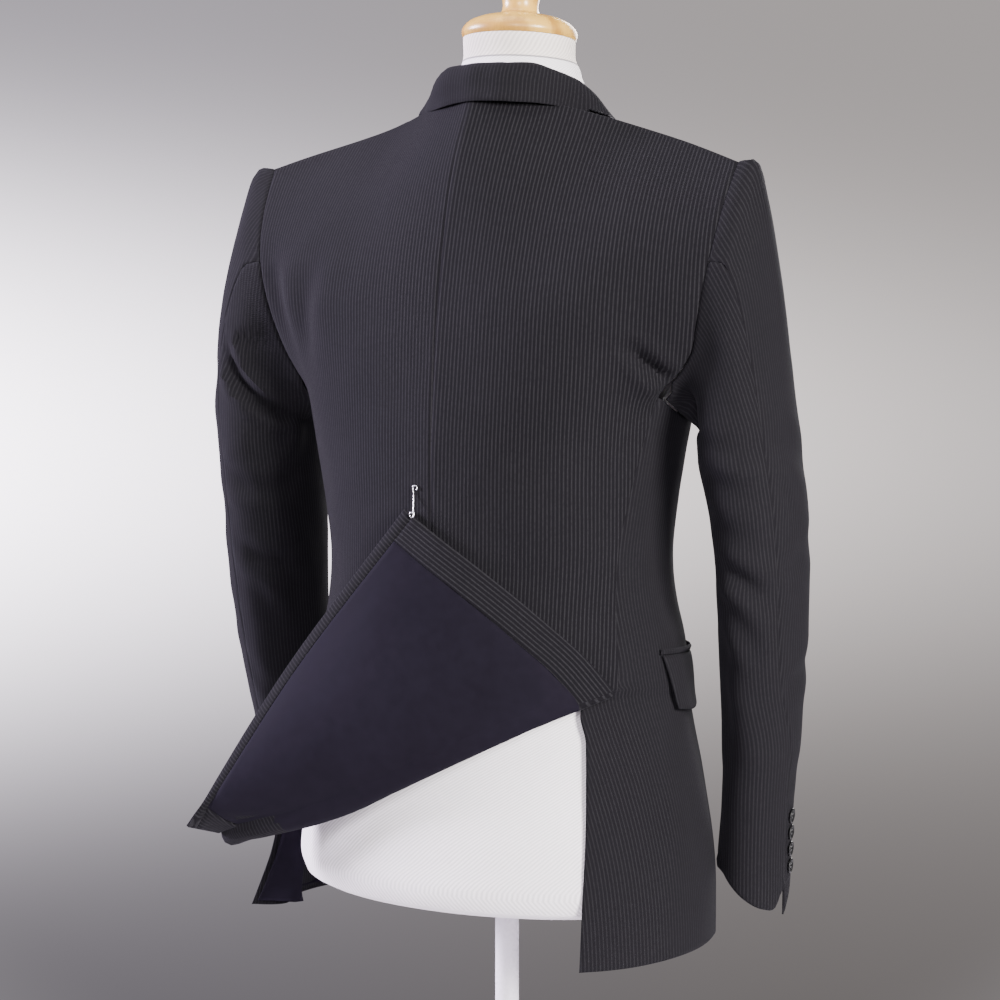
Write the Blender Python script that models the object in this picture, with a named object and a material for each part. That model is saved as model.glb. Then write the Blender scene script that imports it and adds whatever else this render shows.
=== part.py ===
"""A pinstriped two-button suit jacket with double vents, on a limbless dress form.

The back skirt between the vents is turned up: its right corner is pinned beside the
centre back seam, so that the lining, the vent facings and the hem facing show.
Metres, +Z up. The origin is the centre of the stand's underside on the floor. The
front faces -Y and the wearer's left is +X.
"""

from collections import namedtuple
from math import cos, pi, radians, sin, tan

import bmesh
import bpy
import numpy as np

# ---------------------------------------------------------------- driving sizes

CLOTH = 0.0016
LINING = 0.0010
SEAM_GAP = 0.0003
LAYER_GAP = 0.0004

HEM = 0.720
ARMHOLE_BASE = 1.210
UNDERARM_DIP = 0.022
VENT_TOP = 0.967
VENT_TOP_SLANT = 0.012
CHEST_CENTRE = (0.0, 0.05, 1.2)
UNDERLAP = 0.030
BREAK_HEIGHT = 1.068
BUTTON_SPACING = 0.105
FRONT_OVERLAP = 0.020

NAPE = (0.0, 0.060, 1.476)
BLADE_FULLNESS = 0.018
CHEST_FULLNESS = 0.024
FRONT_LAP = 0.0068
HEM_LIFT = 0.0065

FORM_BASE = 0.762
NECK_TOP = 1.524
NECK_LEANS_FROM = 1.502
NECK_SHIFT = -0.022
CAP_TILT = radians(4.3)
POLE_RADIUS = 0.0108
BASE_THICKNESS = 0.014

FRONT_BUTTON_RADIUS = 0.0100
BUTTON_BELOW_BREAK = 0.014
BUTTON_SEAT = 0.0013
CUFF_BUTTON_RADIUS = 0.0066
CUFF_BUTTON_SEAT = 0.0004
CUFF_BUTTON_ANGLE = 47.0
CUFF_BUTTON_FROM = 0.832
CUFF_BUTTON_PITCH = 0.0345

# A button's outline, in radii: out from its axis and up from its back.
Outline = namedtuple("Outline", "out up")
BUTTON = [
    Outline(0.00, 0.00),
    Outline(0.80, 0.00),
    Outline(1.00, 0.16),
    Outline(0.96, 0.34),
    Outline(0.74, 0.30),
    Outline(0.66, 0.22),
    Outline(0.00, 0.20),
]

# Half-girths of the jacket at each height: to the wearer's right and left, to the back
# and to the front of an axis that stands `shift` behind the pole.
Ring = namedtuple("Ring", "z right left back front shift")
JACKET = [
    Ring(0.720, 0.2040, 0.231, 0.148, 0.140, 0.005),
    Ring(0.800, 0.2045, 0.220, 0.146, 0.136, 0.008),
    Ring(0.870, 0.1965, 0.206, 0.139, 0.128, 0.011),
    Ring(0.950, 0.1815, 0.188, 0.131, 0.119, 0.010),
    Ring(0.995, 0.1775, 0.178, 0.127, 0.115, 0.009),
    Ring(1.020, 0.1705, 0.170, 0.125, 0.113, 0.008),
    Ring(1.060, 0.1640, 0.167, 0.124, 0.113, 0.0075),
    Ring(1.100, 0.1665, 0.172, 0.1245, 0.116, 0.0070),
    Ring(1.168, 0.1770, 0.186, 0.125, 0.120, 0.006),
    Ring(1.210, 0.1860, 0.196, 0.122, 0.122, 0.006),
]

# The seams of the panels, as arcs round the ring from the centre back.
Seams = namedtuple("Seams", "z back_right back_left front_right front_left")
SEAMS = [
    Seams(0.720, 0.1745, 0.178, 0.335, 0.345),
    Seams(0.770, 0.1770, 0.177, 0.332, 0.340),
    Seams(0.838, 0.1794, 0.175, 0.326, 0.330),
    Seams(0.900, 0.1770, 0.173, 0.316, 0.318),
    Seams(0.967, 0.1715, 0.171, 0.304, 0.306),
    Seams(1.060, 0.1670, 0.164, 0.286, 0.288),
    Seams(1.140, 0.1830, 0.183, 0.296, 0.306),
    Seams(1.210, 0.2030, 0.210, 0.308, 0.322),
]

# The shoulder seam, from the neck to the armhole; the left shoulder sits squarer.
Shoulder = namedtuple("Shoulder", "out back right_z left_z")
SHOULDER = [
    Shoulder(0.0820, 0.0020, 1.4610, 1.4610),
    Shoulder(0.1080, 0.0035, 1.4525, 1.4525),
    Shoulder(0.1360, 0.0060, 1.4440, 1.4440),
    Shoulder(0.1620, 0.0095, 1.4368, 1.4370),
    Shoulder(0.2000, 0.0150, 1.4245, 1.4280),
    Shoulder(0.2375, 0.0220, 1.4100, 1.4155),
]

# The armhole above the panels' side seams, measured out, back and up.
Stop = namedtuple("Stop", "out back z")
ARMHOLE_BACK = [
    Stop(0.2060, 0.050, 1.243),
    Stop(0.2190, 0.060, 1.285),
    Stop(0.2290, 0.060, 1.330),
    Stop(0.2345, 0.046, 1.372),
]
ARMHOLE_FRONT = [
    Stop(0.1900, -0.058, 1.250),
    Stop(0.1960, -0.066, 1.300),
    Stop(0.2110, -0.050, 1.352),
    Stop(0.2280, -0.014, 1.394),
]

# The front edge below the break: how far each front reaches past the centre front.
Edge = namedtuple("Edge", "z past")
FRONT_EDGE = [
    Edge(0.720, -0.092),
    Edge(0.735, -0.066),
    Edge(0.760, -0.044),
    Edge(0.810, -0.018),
    Edge(0.880, 0.006),
    Edge(0.960, 0.018),
    Edge(1.068, FRONT_OVERLAP),
]

# The lapel, along the roll line from the break to the neck.
Lapel = namedtuple("Lapel", "along width")
LAPEL = [
    Lapel(0.00, 0.004),
    Lapel(0.12, 0.026),
    Lapel(0.35, 0.056),
    Lapel(0.60, 0.078),
    Lapel(0.80, 0.088),
    Lapel(1.00, 0.088),
]
LAPEL_SEAT = 0.0016
LAPEL_SWELL = 0.0030
GORGE_AT_ROLL = 0.891
GORGE_AT_TIP = 0.797
LAPEL_FROM = {"left": 0.02, "right": 0.13}
COLLAR_END = 0.905
COLLAR_SEAM = 0.0021
COLLAR_CLEAR = 0.0024
ROLL_GAP = 0.0017
UNDERLAP_SINK = 0.0034

# The fold of the turned-up skirt, from the right vent's top to the left vent's edge:
# arc from the centre back, height of the roll's underside, and the roll's radius.
Fold = namedtuple("Fold", "arc z radius")
FOLD = [
    Fold(-0.171, 0.9570, 0.0034),
    Fold(-0.120, 0.9390, 0.0045),
    Fold(-0.062, 0.9125, 0.0062),
    Fold(0.016, 0.8718, 0.0095),
    Fold(0.100, 0.8290, 0.0120),
    Fold(0.176, 0.8005, 0.0100),
]
VENT_SWING = (0.036, 0.030)
PINNED_CORNER = (0.024, 1.1120)
FREE_CORNER = (0.2215, 0.1870, 0.8225)
HEM_BOW = (0.0070, 0.0050, 0.0)
FLAP_CLEARANCE = 0.0050
FACING_WIDTH = 0.030
HEM_FACING_WIDTH = 0.011

# The safety pin's wire, measured up from the pinned corner and out from the back.
Wire = namedtuple("Wire", "up stand")
PIN_WIRE = [
    Wire(0.0180, 0.0004),
    Wire(0.0130, 0.0010),
    Wire(0.0060, 0.0034),
    Wire(-0.0010, 0.0062),
    Wire(-0.0045, 0.0068),
]
PIN_WIRE_RADIUS = 0.0006
PIN_SET = -0.0105
PIN_LEAN = -0.25
PIN_COIL = 0.0022
PIN_CLASP = 0.0024

# The left side panel's vent edge swings out: the edge and the crease beside it.
Swing = namedtuple("Swing", "z edge_x edge_y crease_x crease_y")
LEFT_SWING = [
    Swing(0.720, 0.2530, 0.0460, 0.2080, 0.0360),
    Swing(0.777, 0.2275, 0.0490, 0.2020, 0.0360),
    Swing(0.840, 0.2090, 0.0550, 0.1920, 0.0440),
    Swing(0.900, 0.1800, 0.0640, 0.1760, 0.0600),
]

# Each sleeve below the armhole: height, centre (out and back), half-sizes across and
# fore-and-aft, and how far the cloth has turned round the arm.
Cuff = namedtuple("Cuff", "z out back half_out half_back turn")
SLEEVES = {
    "right": [
        Cuff(1.170, 0.2375, 0.000, 0.0430, 0.0600, -20.0),
        Cuff(1.120, 0.2448, -0.005, 0.0400, 0.0560, -20.0),
        Cuff(1.034, 0.2450, -0.020, 0.0370, 0.0510, -20.0),
        Cuff(0.955, 0.2380, -0.037, 0.0335, 0.0465, -28.0),
        Cuff(0.910, 0.2320, -0.049, 0.0315, 0.0440, -48.0),
        Cuff(0.855, 0.2228, -0.061, 0.0290, 0.0415, -56.0),
        Cuff(0.782, 0.2128, -0.074, 0.0305, 0.0400, -60.0),
    ],
    "left": [
        Cuff(1.170, 0.2553, 0.004, 0.0470, 0.0600, 0.0),
        Cuff(1.100, 0.2573, -0.004, 0.0465, 0.0560, 4.0),
        Cuff(1.020, 0.2632, -0.018, 0.0450, 0.0510, 8.0),
        Cuff(0.940, 0.2688, -0.038, 0.0400, 0.0470, 10.0),
        Cuff(0.860, 0.2676, -0.058, 0.0350, 0.0440, 12.0),
        Cuff(0.790, 0.2612, -0.070, 0.0330, 0.0430, 12.0),
    ],
}

# How each sleeve's head leaves the armhole at the top, and how it meets the arm.
Head = namedtuple("Head", "leave_out leave_up arrive_out arrive_down")
HEADS = {
    "right": Head(0.068, 0.100, 0.045, 0.280),
    "left": Head(0.088, 0.080, -0.035, 0.280),
}
UNDERARM = Head(0.045, -0.045, 0.0, 0.050)
HINDARM_ANGLE = 60.0
FOREARM_ANGLE = 226.0
CUFF_RISE = {"right": 0.030, "left": 0.008}
CUFF_RISE_FACES = 205.0
CUFF_NOTCH = 0.016
CUFF_LAP = 0.008
CUFF_OPENS = 2.0
SLEEVE_SEAM_TRIM = 0.32
SLEEVE_SET_OUT = 0.0022

# The hip pockets: `behind_seam` and `slant` are arcs round the hip, and `fall` is how
# much lower the front end sits. `corner` is how far its front corner is rounded.
Pocket = namedtuple("Pocket", "length top depth fall slant behind_seam corner")
POCKET = Pocket(0.165, 0.986, 0.050, 0.006, 0.022, 0.083, 0.006)
POCKET_SEAT = 0.0013
POCKET_STAND = 0.0020
JET_WIDTH = 0.0045
JET_GAP = 0.0012
JET_PAST = 0.003

# The breast welt, in shares of the front's width and height.
Welt = namedtuple("Welt", "inner outer low slope rise")
WELT = Welt(0.17, 0.50, 0.455, -0.037, 0.052)

# The collar, from the centre back to its front end: where its roll line runs, and
# where the leaf's edge lies on the back or the front.
Collar = namedtuple("Collar", "along roll_x roll_y roll_z leaf_x leaf_y leaf_z")
COLLAR = [
    Collar(0.00, 0.0000, 0.0545, 1.4980, 0.0000, 0.0680, 1.4640),
    Collar(0.20, 0.0300, 0.0455, 1.4965, 0.0385, 0.0600, 1.4625),
    Collar(0.40, 0.0525, 0.0200, 1.4900, 0.0720, 0.0290, 1.4610),
    Collar(0.56, 0.0700, -0.0080, 1.4805, 0.0955, -0.0020, 1.4580),
    Collar(0.72, 0.0745, -0.0300, 1.4620, 0.1080, -0.0270, 1.4450),
    Collar(0.88, 0.0770, -0.0430, 1.4460, 0.1140, -0.0410, 1.4290),
    Collar(1.00, 0.0765, -0.0500, 1.4360, 0.1160, -0.0470, 1.4170),
]
COLLAR_AT_NECK_POINT = 0.56

# The form: rings of the torso, then of the neck.
FORM = [
    Ring(0.762, 0.178, 0.181, 0.120, 0.112, 0.012),
    Ring(0.766, 0.187, 0.190, 0.127, 0.118, 0.012),
    Ring(0.776, 0.193, 0.196, 0.133, 0.122, 0.012),
    Ring(0.810, 0.194, 0.197, 0.134, 0.123, 0.012),
    Ring(0.870, 0.186, 0.188, 0.129, 0.117, 0.011),
    Ring(0.950, 0.170, 0.170, 0.119, 0.106, 0.010),
    Ring(1.020, 0.156, 0.156, 0.113, 0.100, 0.008),
    Ring(1.080, 0.153, 0.153, 0.112, 0.101, 0.007),
    Ring(1.168, 0.163, 0.163, 0.113, 0.106, 0.006),
    Ring(1.240, 0.174, 0.174, 0.108, 0.108, 0.004),
    Ring(1.310, 0.184, 0.184, 0.098, 0.098, 0.000),
    Ring(1.360, 0.180, 0.180, 0.082, 0.080, -0.004),
    Ring(1.395, 0.155, 0.155, 0.068, 0.060, -0.008),
    Ring(1.420, 0.112, 0.112, 0.056, 0.050, -0.012),
    Ring(1.438, 0.079, 0.079, 0.052, 0.052, -0.016),
    Ring(1.446, 0.064, 0.064, 0.050, 0.054, -0.018),
]
NECK = [
    Ring(1.4463, 0.0700, 0.0700, 0.0540, 0.0580, -0.019),
    Ring(1.4610, 0.0675, 0.0675, 0.0550, 0.0590, -0.020),
    Ring(1.4750, 0.0640, 0.0640, 0.0545, 0.0580, -0.021),
    Ring(1.4900, 0.0570, 0.0570, 0.0535, 0.0550, -0.022),
    Ring(1.4990, 0.0540, 0.0540, 0.0530, 0.0540, -0.022),
    Ring(1.5010, 0.0528, 0.0528, 0.0518, 0.0528, -0.022),
    Ring(1.5240, 0.0505, 0.0505, 0.0505, 0.0505, -0.022),
]

# Outlines of the turned parts, from the bottom to the top.
Turning = namedtuple("Turning", "radius z")
SOCKET = [
    Turning(0.0, 0.0),
    Turning(0.032, 0.0),
    Turning(0.032, 0.004),
    Turning(0.018, 0.012),
    Turning(0.0155, 0.0297),
    Turning(0.0, 0.0297),
]
BASE = [
    Turning(0.0, 0.0),
    Turning(0.173, 0.0),
    Turning(0.175, 0.002),
    Turning(0.175, BASE_THICKNESS - 0.005),
    Turning(0.169, BASE_THICKNESS),
    Turning(0.0, BASE_THICKNESS),
]
CAP = [
    Turning(0.0, 0.0),
    Turning(0.0505, 0.0),
    Turning(0.0520, 0.0035),
    Turning(0.0515, 0.0080),
    Turning(0.0470, 0.0135),
    Turning(0.0380, 0.0180),
    Turning(0.0240, 0.0215),
    Turning(0.0175, 0.0240),
    Turning(0.0160, 0.0300),
    Turning(0.0170, 0.0370),
    Turning(0.0185, 0.0450),
    Turning(0.0160, 0.0540),
    Turning(0.0090, 0.0600),
    Turning(0.0, 0.0615),
]

# ------------------------------------------------------------------- finishes

Finish = namedtuple("Finish", "colour roughness metallic")
FINISHES = {
    "suiting": Finish((0.040, 0.036, 0.042), 0.85, 0.0),
    "lining": Finish((0.030, 0.026, 0.045), 0.45, 0.0),
    "button": Finish((0.010, 0.010, 0.011), 0.30, 0.0),
    "form_cover": Finish((0.80, 0.79, 0.78), 0.90, 0.0),
    "form_wood": Finish((0.62, 0.42, 0.22), 0.30, 0.0),
    "stand": Finish((0.85, 0.85, 0.84), 0.25, 0.0),
    "steel": Finish((0.75, 0.75, 0.76), 0.25, 1.0),
}


def finish(name):
    """The material of that name, made the first time it is asked for."""
    material = bpy.data.materials.get(name)
    if material:
        return material
    material = bpy.data.materials.new(name)
    material.use_nodes = True
    shader = material.node_tree.nodes["Principled BSDF"]
    look = FINISHES[name]
    shader.inputs["Base Color"].default_value = (*look.colour, 1.0)
    shader.inputs["Roughness"].default_value = look.roughness
    shader.inputs["Metallic"].default_value = look.metallic
    return material


# ------------------------------------------------------------ curves and tables


def smooth_table(knots, values, at):
    """A smooth curve through the values at the knots, with no overshoot at its ends."""
    knots = np.asarray(knots, float)
    values = np.asarray(values, float)
    slopes = np.gradient(values, knots, axis=0)
    at = np.clip(np.asarray(at, float), knots[0], knots[-1])
    i = np.clip(np.searchsorted(knots, at) - 1, 0, len(knots) - 2)
    span = knots[i + 1] - knots[i]
    t = (at - knots[i]) / span
    if values.ndim > 1:
        span, t = span[..., None], t[..., None]
    start, end = values[i], values[i + 1]
    leave, arrive = slopes[i] * span, slopes[i + 1] * span
    return (
        (2 * t**3 - 3 * t**2 + 1) * start
        + (t**3 - 2 * t**2 + t) * leave
        + (3 * t**2 - 2 * t**3) * end
        + (t**3 - t**2) * arrive
    )


def column(table, name, at):
    """One named column of a table, read at heights or fractions."""
    return smooth_table([row[0] for row in table], [getattr(row, name) for row in table], at)


def ease(value, start, end):
    """0 before start, 1 after end, and a soft rise between."""
    t = np.clip((np.asarray(value, float) - start) / (end - start), 0, 1)
    return t * t * (3 - 2 * t)


def lengths(points):
    """How far along a line each of its points lies."""
    steps = np.linalg.norm(np.diff(points, axis=0), axis=1)
    return np.concatenate([[0.0], np.cumsum(steps)])


def through(points, count=65):
    """A smooth line through a few points, as evenly spaced points."""
    points = np.asarray(points, float)
    fine = smooth_table(lengths(points), points, np.linspace(0, lengths(points)[-1], 8 * count))
    return along(fine, np.linspace(0, 1, count))


def along(line, fraction):
    """The points at these fractions of a line's length."""
    run = lengths(line)
    at = np.asarray(fraction, float) * run[-1]
    return np.stack([np.interp(at, run, line[:, k]) for k in range(3)], axis=-1)


def ring_line(table, side, z, clear=0.0):
    """The ring at one height, with each point's arc from the centre back. The side is
    +1 to the wearer's left and -1 to the right, and the line runs on past both centres."""
    turn = np.linspace(-0.6 * pi, 1.5 * pi, 253)
    own = "left" if side > 0 else "right"
    other = "right" if side > 0 else "left"
    across = np.where(
        np.sin(turn) >= 0, column(table, own, z), column(table, other, z)
    )
    deep = np.where(np.cos(turn) >= 0, column(table, "back", z), column(table, "front", z))
    x = side * across * np.sin(turn)
    y = column(table, "shift", z) + deep * np.cos(turn)
    line = np.stack([x, y, np.full_like(x, z)], axis=1)
    run = lengths(line)
    run -= np.interp(0.0, turn, run)
    heading = np.gradient(line, axis=0)
    outward = side * np.stack([-heading[:, 1], heading[:, 0], 0 * x], axis=1)
    outward /= np.linalg.norm(outward, axis=1, keepdims=True)
    return line + clear * outward, run, np.interp(pi, turn, run)


def on_ring(side, z, arc, clear=0.0):
    """The point of the jacket at an arc from the centre back, moved out by clear."""
    line, run, _ = ring_line(JACKET, side, z, clear)
    return np.array([np.interp(arc, run, line[:, k]) for k in range(3)])


def half_girth(side, z):
    """The arc from the centre back to the centre front."""
    return ring_line(JACKET, side, z)[2]


def normals_of(grid):
    """Unit normals of a grid of points."""
    across = np.gradient(grid, axis=1)
    up = np.gradient(grid, axis=0)
    normal = np.cross(across, up)
    return normal / np.linalg.norm(normal, axis=-1, keepdims=True)


def outward_normals(grid, inner=None):
    """Unit normals of a grid on the side away from an inner point, or from the pole's
    axis where none is given."""
    normal = normals_of(grid)
    away = grid * np.array([1.0, 1.0, 0.0]) if inner is None else grid - np.asarray(inner)
    return normal * np.sign(np.sum(normal * away))


def between_neighbours(grid, before=None, after=None):
    """Outward normals of a panel whose cloth runs on past its first or last column."""
    before = 2 * grid[:, 0] - grid[:, 1] if before is None else before
    after = 2 * grid[:, -1] - grid[:, -2] if after is None else after
    wide = np.concatenate([before[:, None], grid, after[:, None]], axis=1)
    return outward_normals(wide)[:, 1:-1]


def laid_on(points, skin, clear, lift_only=False):
    """Points put at a height above the nearest point of a skin (points and normals)."""
    spots, normals = skin
    points = np.array(points, float)
    for point in points.reshape(-1, 3):
        nearest = np.argmin(np.sum((spots - point) ** 2, axis=1))
        height = np.dot(point - spots[nearest], normals[nearest])
        if height < clear or not lift_only:
            point += (clear - height) * normals[nearest]
    return points


def facets(grid, times=5):
    """Points and normals spread over the flat facets of a coarse grid."""
    rows = np.linspace(0, grid.shape[0] - 1, times * (grid.shape[0] - 1) + 1)
    columns = np.linspace(0, grid.shape[1] - 1, times * (grid.shape[1] - 1) + 1)
    i, j = np.floor(rows).astype(int), np.floor(columns).astype(int)
    i, j = np.minimum(i, grid.shape[0] - 2), np.minimum(j, grid.shape[1] - 2)
    a, b = (rows - i)[:, None, None], (columns - j)[None, :, None]
    low = (1 - b) * grid[i][:, j] + b * grid[i][:, j + 1]
    high = (1 - b) * grid[i + 1][:, j] + b * grid[i + 1][:, j + 1]
    fine = (1 - a) * low + a * high
    return fine.reshape(-1, 3), outward_normals(fine).reshape(-1, 3)


def joined(*skins):
    return tuple(np.concatenate(parts) for parts in zip(*skins))


def blended_rows(grid, row, reach=2, passes=4):
    """Softens the crease at one row of a grid, with its first and last columns kept."""
    grid = grid.copy()
    pull = np.sin(np.linspace(0, pi, grid.shape[1]))[:, None] ** 0.5
    for _ in range(passes):
        for i in range(row - reach, row + reach + 1):
            middle = 0.5 * (grid[i - 1] + grid[i + 1])
            grid[i] += 0.5 * pull * (middle - grid[i])
    return grid


def clear_of_body(grid, clear):
    """Moves a grid's points out until each is clear of the jacket's rings."""
    grid = grid.copy()
    for point in grid.reshape(-1, 3):
        z = min(max(point[2], JACKET[0].z), JACKET[-1].z)
        own = "left" if point[0] > 0 else "right"
        across = column(JACKET, own, z) + clear
        deep = column(JACKET, "back", z) + clear
        shift = column(JACKET, "shift", z)
        reach = np.hypot(point[0] / across, (point[1] - shift) / deep)
        if reach < 1:
            point[0] /= reach
            point[1] = shift + (point[1] - shift) / reach
    return grid


class Patch:
    """A surface filled in between four edges, with an optional fullness."""

    def __init__(self, bottom, top, start, end, fullness=None):
        self.bottom, self.top, self.start, self.end = bottom, top, start, end
        self.fullness = fullness

    def at(self, u, v):
        u, v = np.broadcast_arrays(np.asarray(u, float), np.asarray(v, float))
        a, b = u[..., None], v[..., None]
        ruled_up = (1 - b) * along(self.bottom, u) + b * along(self.top, u)
        ruled_across = (1 - a) * along(self.start, v) + a * along(self.end, v)
        corners = (
            (1 - a) * (1 - b) * self.bottom[0]
            + a * (1 - b) * self.bottom[-1]
            + (1 - a) * b * self.top[0]
            + a * b * self.top[-1]
        )
        points = ruled_up + ruled_across - corners
        if self.fullness is not None:
            points = points + self.fullness(u, v)
        return points


# ------------------------------------------------------------------- building


def keep(mesh_maker, name, look):
    """A new object of that name with the mesh that mesh_maker fills in."""
    mesh = bpy.data.meshes.new(name)
    bm = bmesh.new()
    mesh_maker(bm)
    bm.to_mesh(mesh)
    bm.free()
    mesh.materials.append(finish(look))
    mesh.shade_smooth()
    mesh.set_sharp_from_angle(angle=radians(40))
    obj = bpy.data.objects.new(name, mesh)
    bpy.context.scene.collection.objects.link(obj)
    return obj


def sheet(bm, grid):
    """A grid of faces with its points put on the given ones."""
    rows, columns = grid.shape[:2]
    made = bmesh.ops.create_grid(bm, x_segments=columns - 1, y_segments=rows - 1, size=1.0)
    for vert in made["verts"]:
        i = round((vert.co.x + 1) / 2 * (columns - 1))
        j = round((vert.co.y + 1) / 2 * (rows - 1))
        vert.co = grid[j, i]


def cloth(name, grid, look="suiting", thickness=CLOTH, normals=None, outward=False):
    """A wall of cloth with its outer face on a grid of points, or its inner face where
    outward is set."""
    normals = outward_normals(grid) if normals is None else normals
    other = grid + normals * (thickness if outward else -thickness)

    def wall(bm):
        sheet(bm, grid)
        sheet(bm, other)
        rim = [edge for edge in bm.edges if edge.is_boundary]
        bmesh.ops.bridge_loops(bm, edges=rim)
        bmesh.ops.recalc_face_normals(bm, faces=bm.faces[:])

    return keep(wall, name, look)


def turned(name, profile, look, sides=32):
    """A solid of revolution about Z from its outer profile, (radius, height) from the
    bottom to the top, closed on the axis."""

    def spin(bm):
        verts = [bm.verts.new((radius, 0.0, z)) for radius, z in profile]
        edges = [bm.edges.new(pair) for pair in zip(verts, verts[1:])]
        bmesh.ops.spin(
            bm,
            geom=verts + edges,
            cent=(0, 0, 0),
            axis=(0, 0, 1),
            angle=2 * pi,
            steps=sides,
            use_merge=True,
        )
        bmesh.ops.remove_doubles(bm, verts=bm.verts[:], dist=1e-6)
        bmesh.ops.recalc_face_normals(bm, faces=bm.faces[:])

    return keep(spin, name, look)


def lofted(name, table, look, sides=24):
    """A closed body through elliptical rings, flat at both ends."""
    turns = np.linspace(0, 2 * pi, sides, endpoint=False)

    def loft(bm):
        rings = []
        for row in table:
            deep = np.where(np.cos(turns) >= 0, row.back, row.front)
            across = np.where(np.sin(turns) >= 0, row.left, row.right)
            x = across * np.sin(turns)
            y = row.shift + deep * np.cos(turns)
            rings.append([bm.verts.new((*spot, row.z)) for spot in zip(x, y)])
        loops = []
        for ring in rings:
            loops.append([bm.edges.new(pair) for pair in zip(ring, ring[1:] + ring[:1])])
        for below, above in zip(loops, loops[1:]):
            bmesh.ops.bridge_loops(bm, edges=below + above)
        bm.faces.new(rings[0])
        bm.faces.new(rings[-1])
        bmesh.ops.recalc_face_normals(bm, faces=bm.faces[:])

    return keep(loft, name, look)


# ------------------------------------------------------------------ back panels

SIDES = {"right": -1, "left": 1}


def seam_arc(which, side_name, z):
    return column(SEAMS, f"{which}_{side_name}", z)


def vent_swing(side_name, share, z):
    """How far the left vent's edge of the back has swung out and back."""
    if side_name == "right":
        return np.zeros(3)
    amount = ease(share, 0.25, 1.0) * ease(VENT_TOP - z, 0.0, VENT_TOP - FOLD[-1].z)
    return amount * np.array([*VENT_SWING, 0.0])


def back_point(side_name, share, z, clear=0.0):
    """A point of the lower back: share 0 is the centre back and 1 the side seam."""
    side = SIDES[side_name]
    arc = share * seam_arc("back", side_name, z)
    return on_ring(side, z, arc, clear) + vent_swing(side_name, share, z)


def armhole_points(side_name, stops):
    side = SIDES[side_name]
    return [(side * stop.out, stop.back, stop.z) for stop in stops]


def shoulder_points(side_name):
    """The shoulder seam from the neck point to the armhole."""
    side = SIDES[side_name]
    heights = [getattr(row, f"{side_name}_z") for row in SHOULDER]
    return [(side * row.out, row.back, z) for row, z in zip(SHOULDER, heights)]


def armhole_edge(side_name, which):
    """The back or front armhole, from the side seam up to the shoulder seam."""
    side = SIDES[side_name]
    stops = ARMHOLE_BACK if which == "back" else ARMHOLE_FRONT
    corner = on_ring(side, ARMHOLE_BASE, seam_arc(which, side_name, ARMHOLE_BASE))
    tip = shoulder_points(side_name)[-1]
    return through([corner, *armhole_points(side_name, stops), tip])


def neckline(side_name):
    side = SIDES[side_name]
    point = shoulder_points(side_name)[0]
    return through([NAPE, (side * 0.030, 0.0555, 1.4735), (side * 0.062, 0.034, 1.4675), point], 33)


def back_patch(side_name):
    """The back above the armhole's base, up to the neckline and the shoulder seam."""
    side = SIDES[side_name]
    edge_arc = seam_arc("back", side_name, ARMHOLE_BASE)
    bottom = np.array([on_ring(side, ARMHOLE_BASE, a) for a in np.linspace(0, edge_arc, 41)])
    centre = through([bottom[0], (0, 0.121, 1.283), (0, 0.112, 1.336), (0, 0.092, 1.410), NAPE])
    shoulder = through(shoulder_points(side_name), 33)
    top = np.concatenate([neckline(side_name), shoulder[1:]])

    def blade(u, v):
        swell = np.sin(pi * np.clip(u, 0, 1)) ** 2 * np.sin(pi * v**0.85)
        return np.stack([0 * u, BLADE_FULLNESS * swell, 0 * u], axis=-1)

    return Patch(bottom, top, centre, armhole_edge(side_name, "back"), blade)


def neck_share(patch, count=33):
    """Where the neck point lies along a patch's top edge."""
    return lengths(patch.top)[count - 1] / lengths(patch.top)[-1]


def across_shares(corner, to_corner, past_corner, start=0.0, end=1.0):
    """Columns of a panel that keep one column at the neck point."""
    return np.concatenate(
        [np.linspace(start, corner, to_corner + 1)[:-1], np.linspace(corner, end, past_corner + 1)]
    )


def fold_bottom(side_name, share):
    """The height where the back's standing layer ends, above the roll."""
    arc = SIDES[side_name] * share * seam_arc("back", side_name, 0.87)
    return column(FOLD, "z", arc) + column(FOLD, "radius", arc)


def seam_levels(side_name):
    """Heights that the panels share along their seams, with one at the break."""
    low = fold_bottom(side_name, 1.0)
    below = np.linspace(low, BREAK_HEIGHT, 6)[:-1]
    return np.concatenate([below, np.linspace(BREAK_HEIGHT, ARMHOLE_BASE, 6)])


def stretched(levels, low, high):
    """The levels drawn out to run from low to high."""
    return low + (levels - levels[0]) / (levels[-1] - levels[0]) * (high - low)


def back_rows(side_name, shares, patch):
    """The back's rows: the lower ones follow the rings, and the upper ones the patch."""
    seam = seam_levels(side_name)
    columns = []
    for share in shares:
        heights = stretched(seam, fold_bottom(side_name, share), ARMHOLE_BASE)
        columns.append([back_point(side_name, share, z) for z in heights[:-1]])
    rows = list(np.array(columns).transpose(1, 0, 2))
    finish_at = 1 - 1.15 * (CLOTH + SEAM_GAP) / lengths(patch.end)[-1]
    for level in np.linspace(0, finish_at, 10):
        rows.append(patch.at(shares, np.full_like(shares, level)))
    return blended_rows(np.array(rows), len(seam) - 1)


def back_panel(side_name):
    patch = back_patch(side_name)
    trim = SEAM_GAP / 2 / seam_arc("back", side_name, 1.06)
    shares = across_shares(neck_share(patch), 3, 7, trim, 1 - trim)
    grid = back_rows(side_name, shares, patch)
    across = grid[:, 1] * np.array([-1.0, 1.0, 1.0])
    beyond = 2 * grid[:, -1] - grid[:, -2]
    step = 1 - shares[-2]
    for row, z in enumerate(seam_levels(side_name)[:-1]):
        beyond[row] = back_point(side_name, 1 + step, z)
    cloth(f"back_{side_name}", grid, normals=between_neighbours(grid, across, beyond))


# ------------------------------------------------------- the turned-up back skirt


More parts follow.
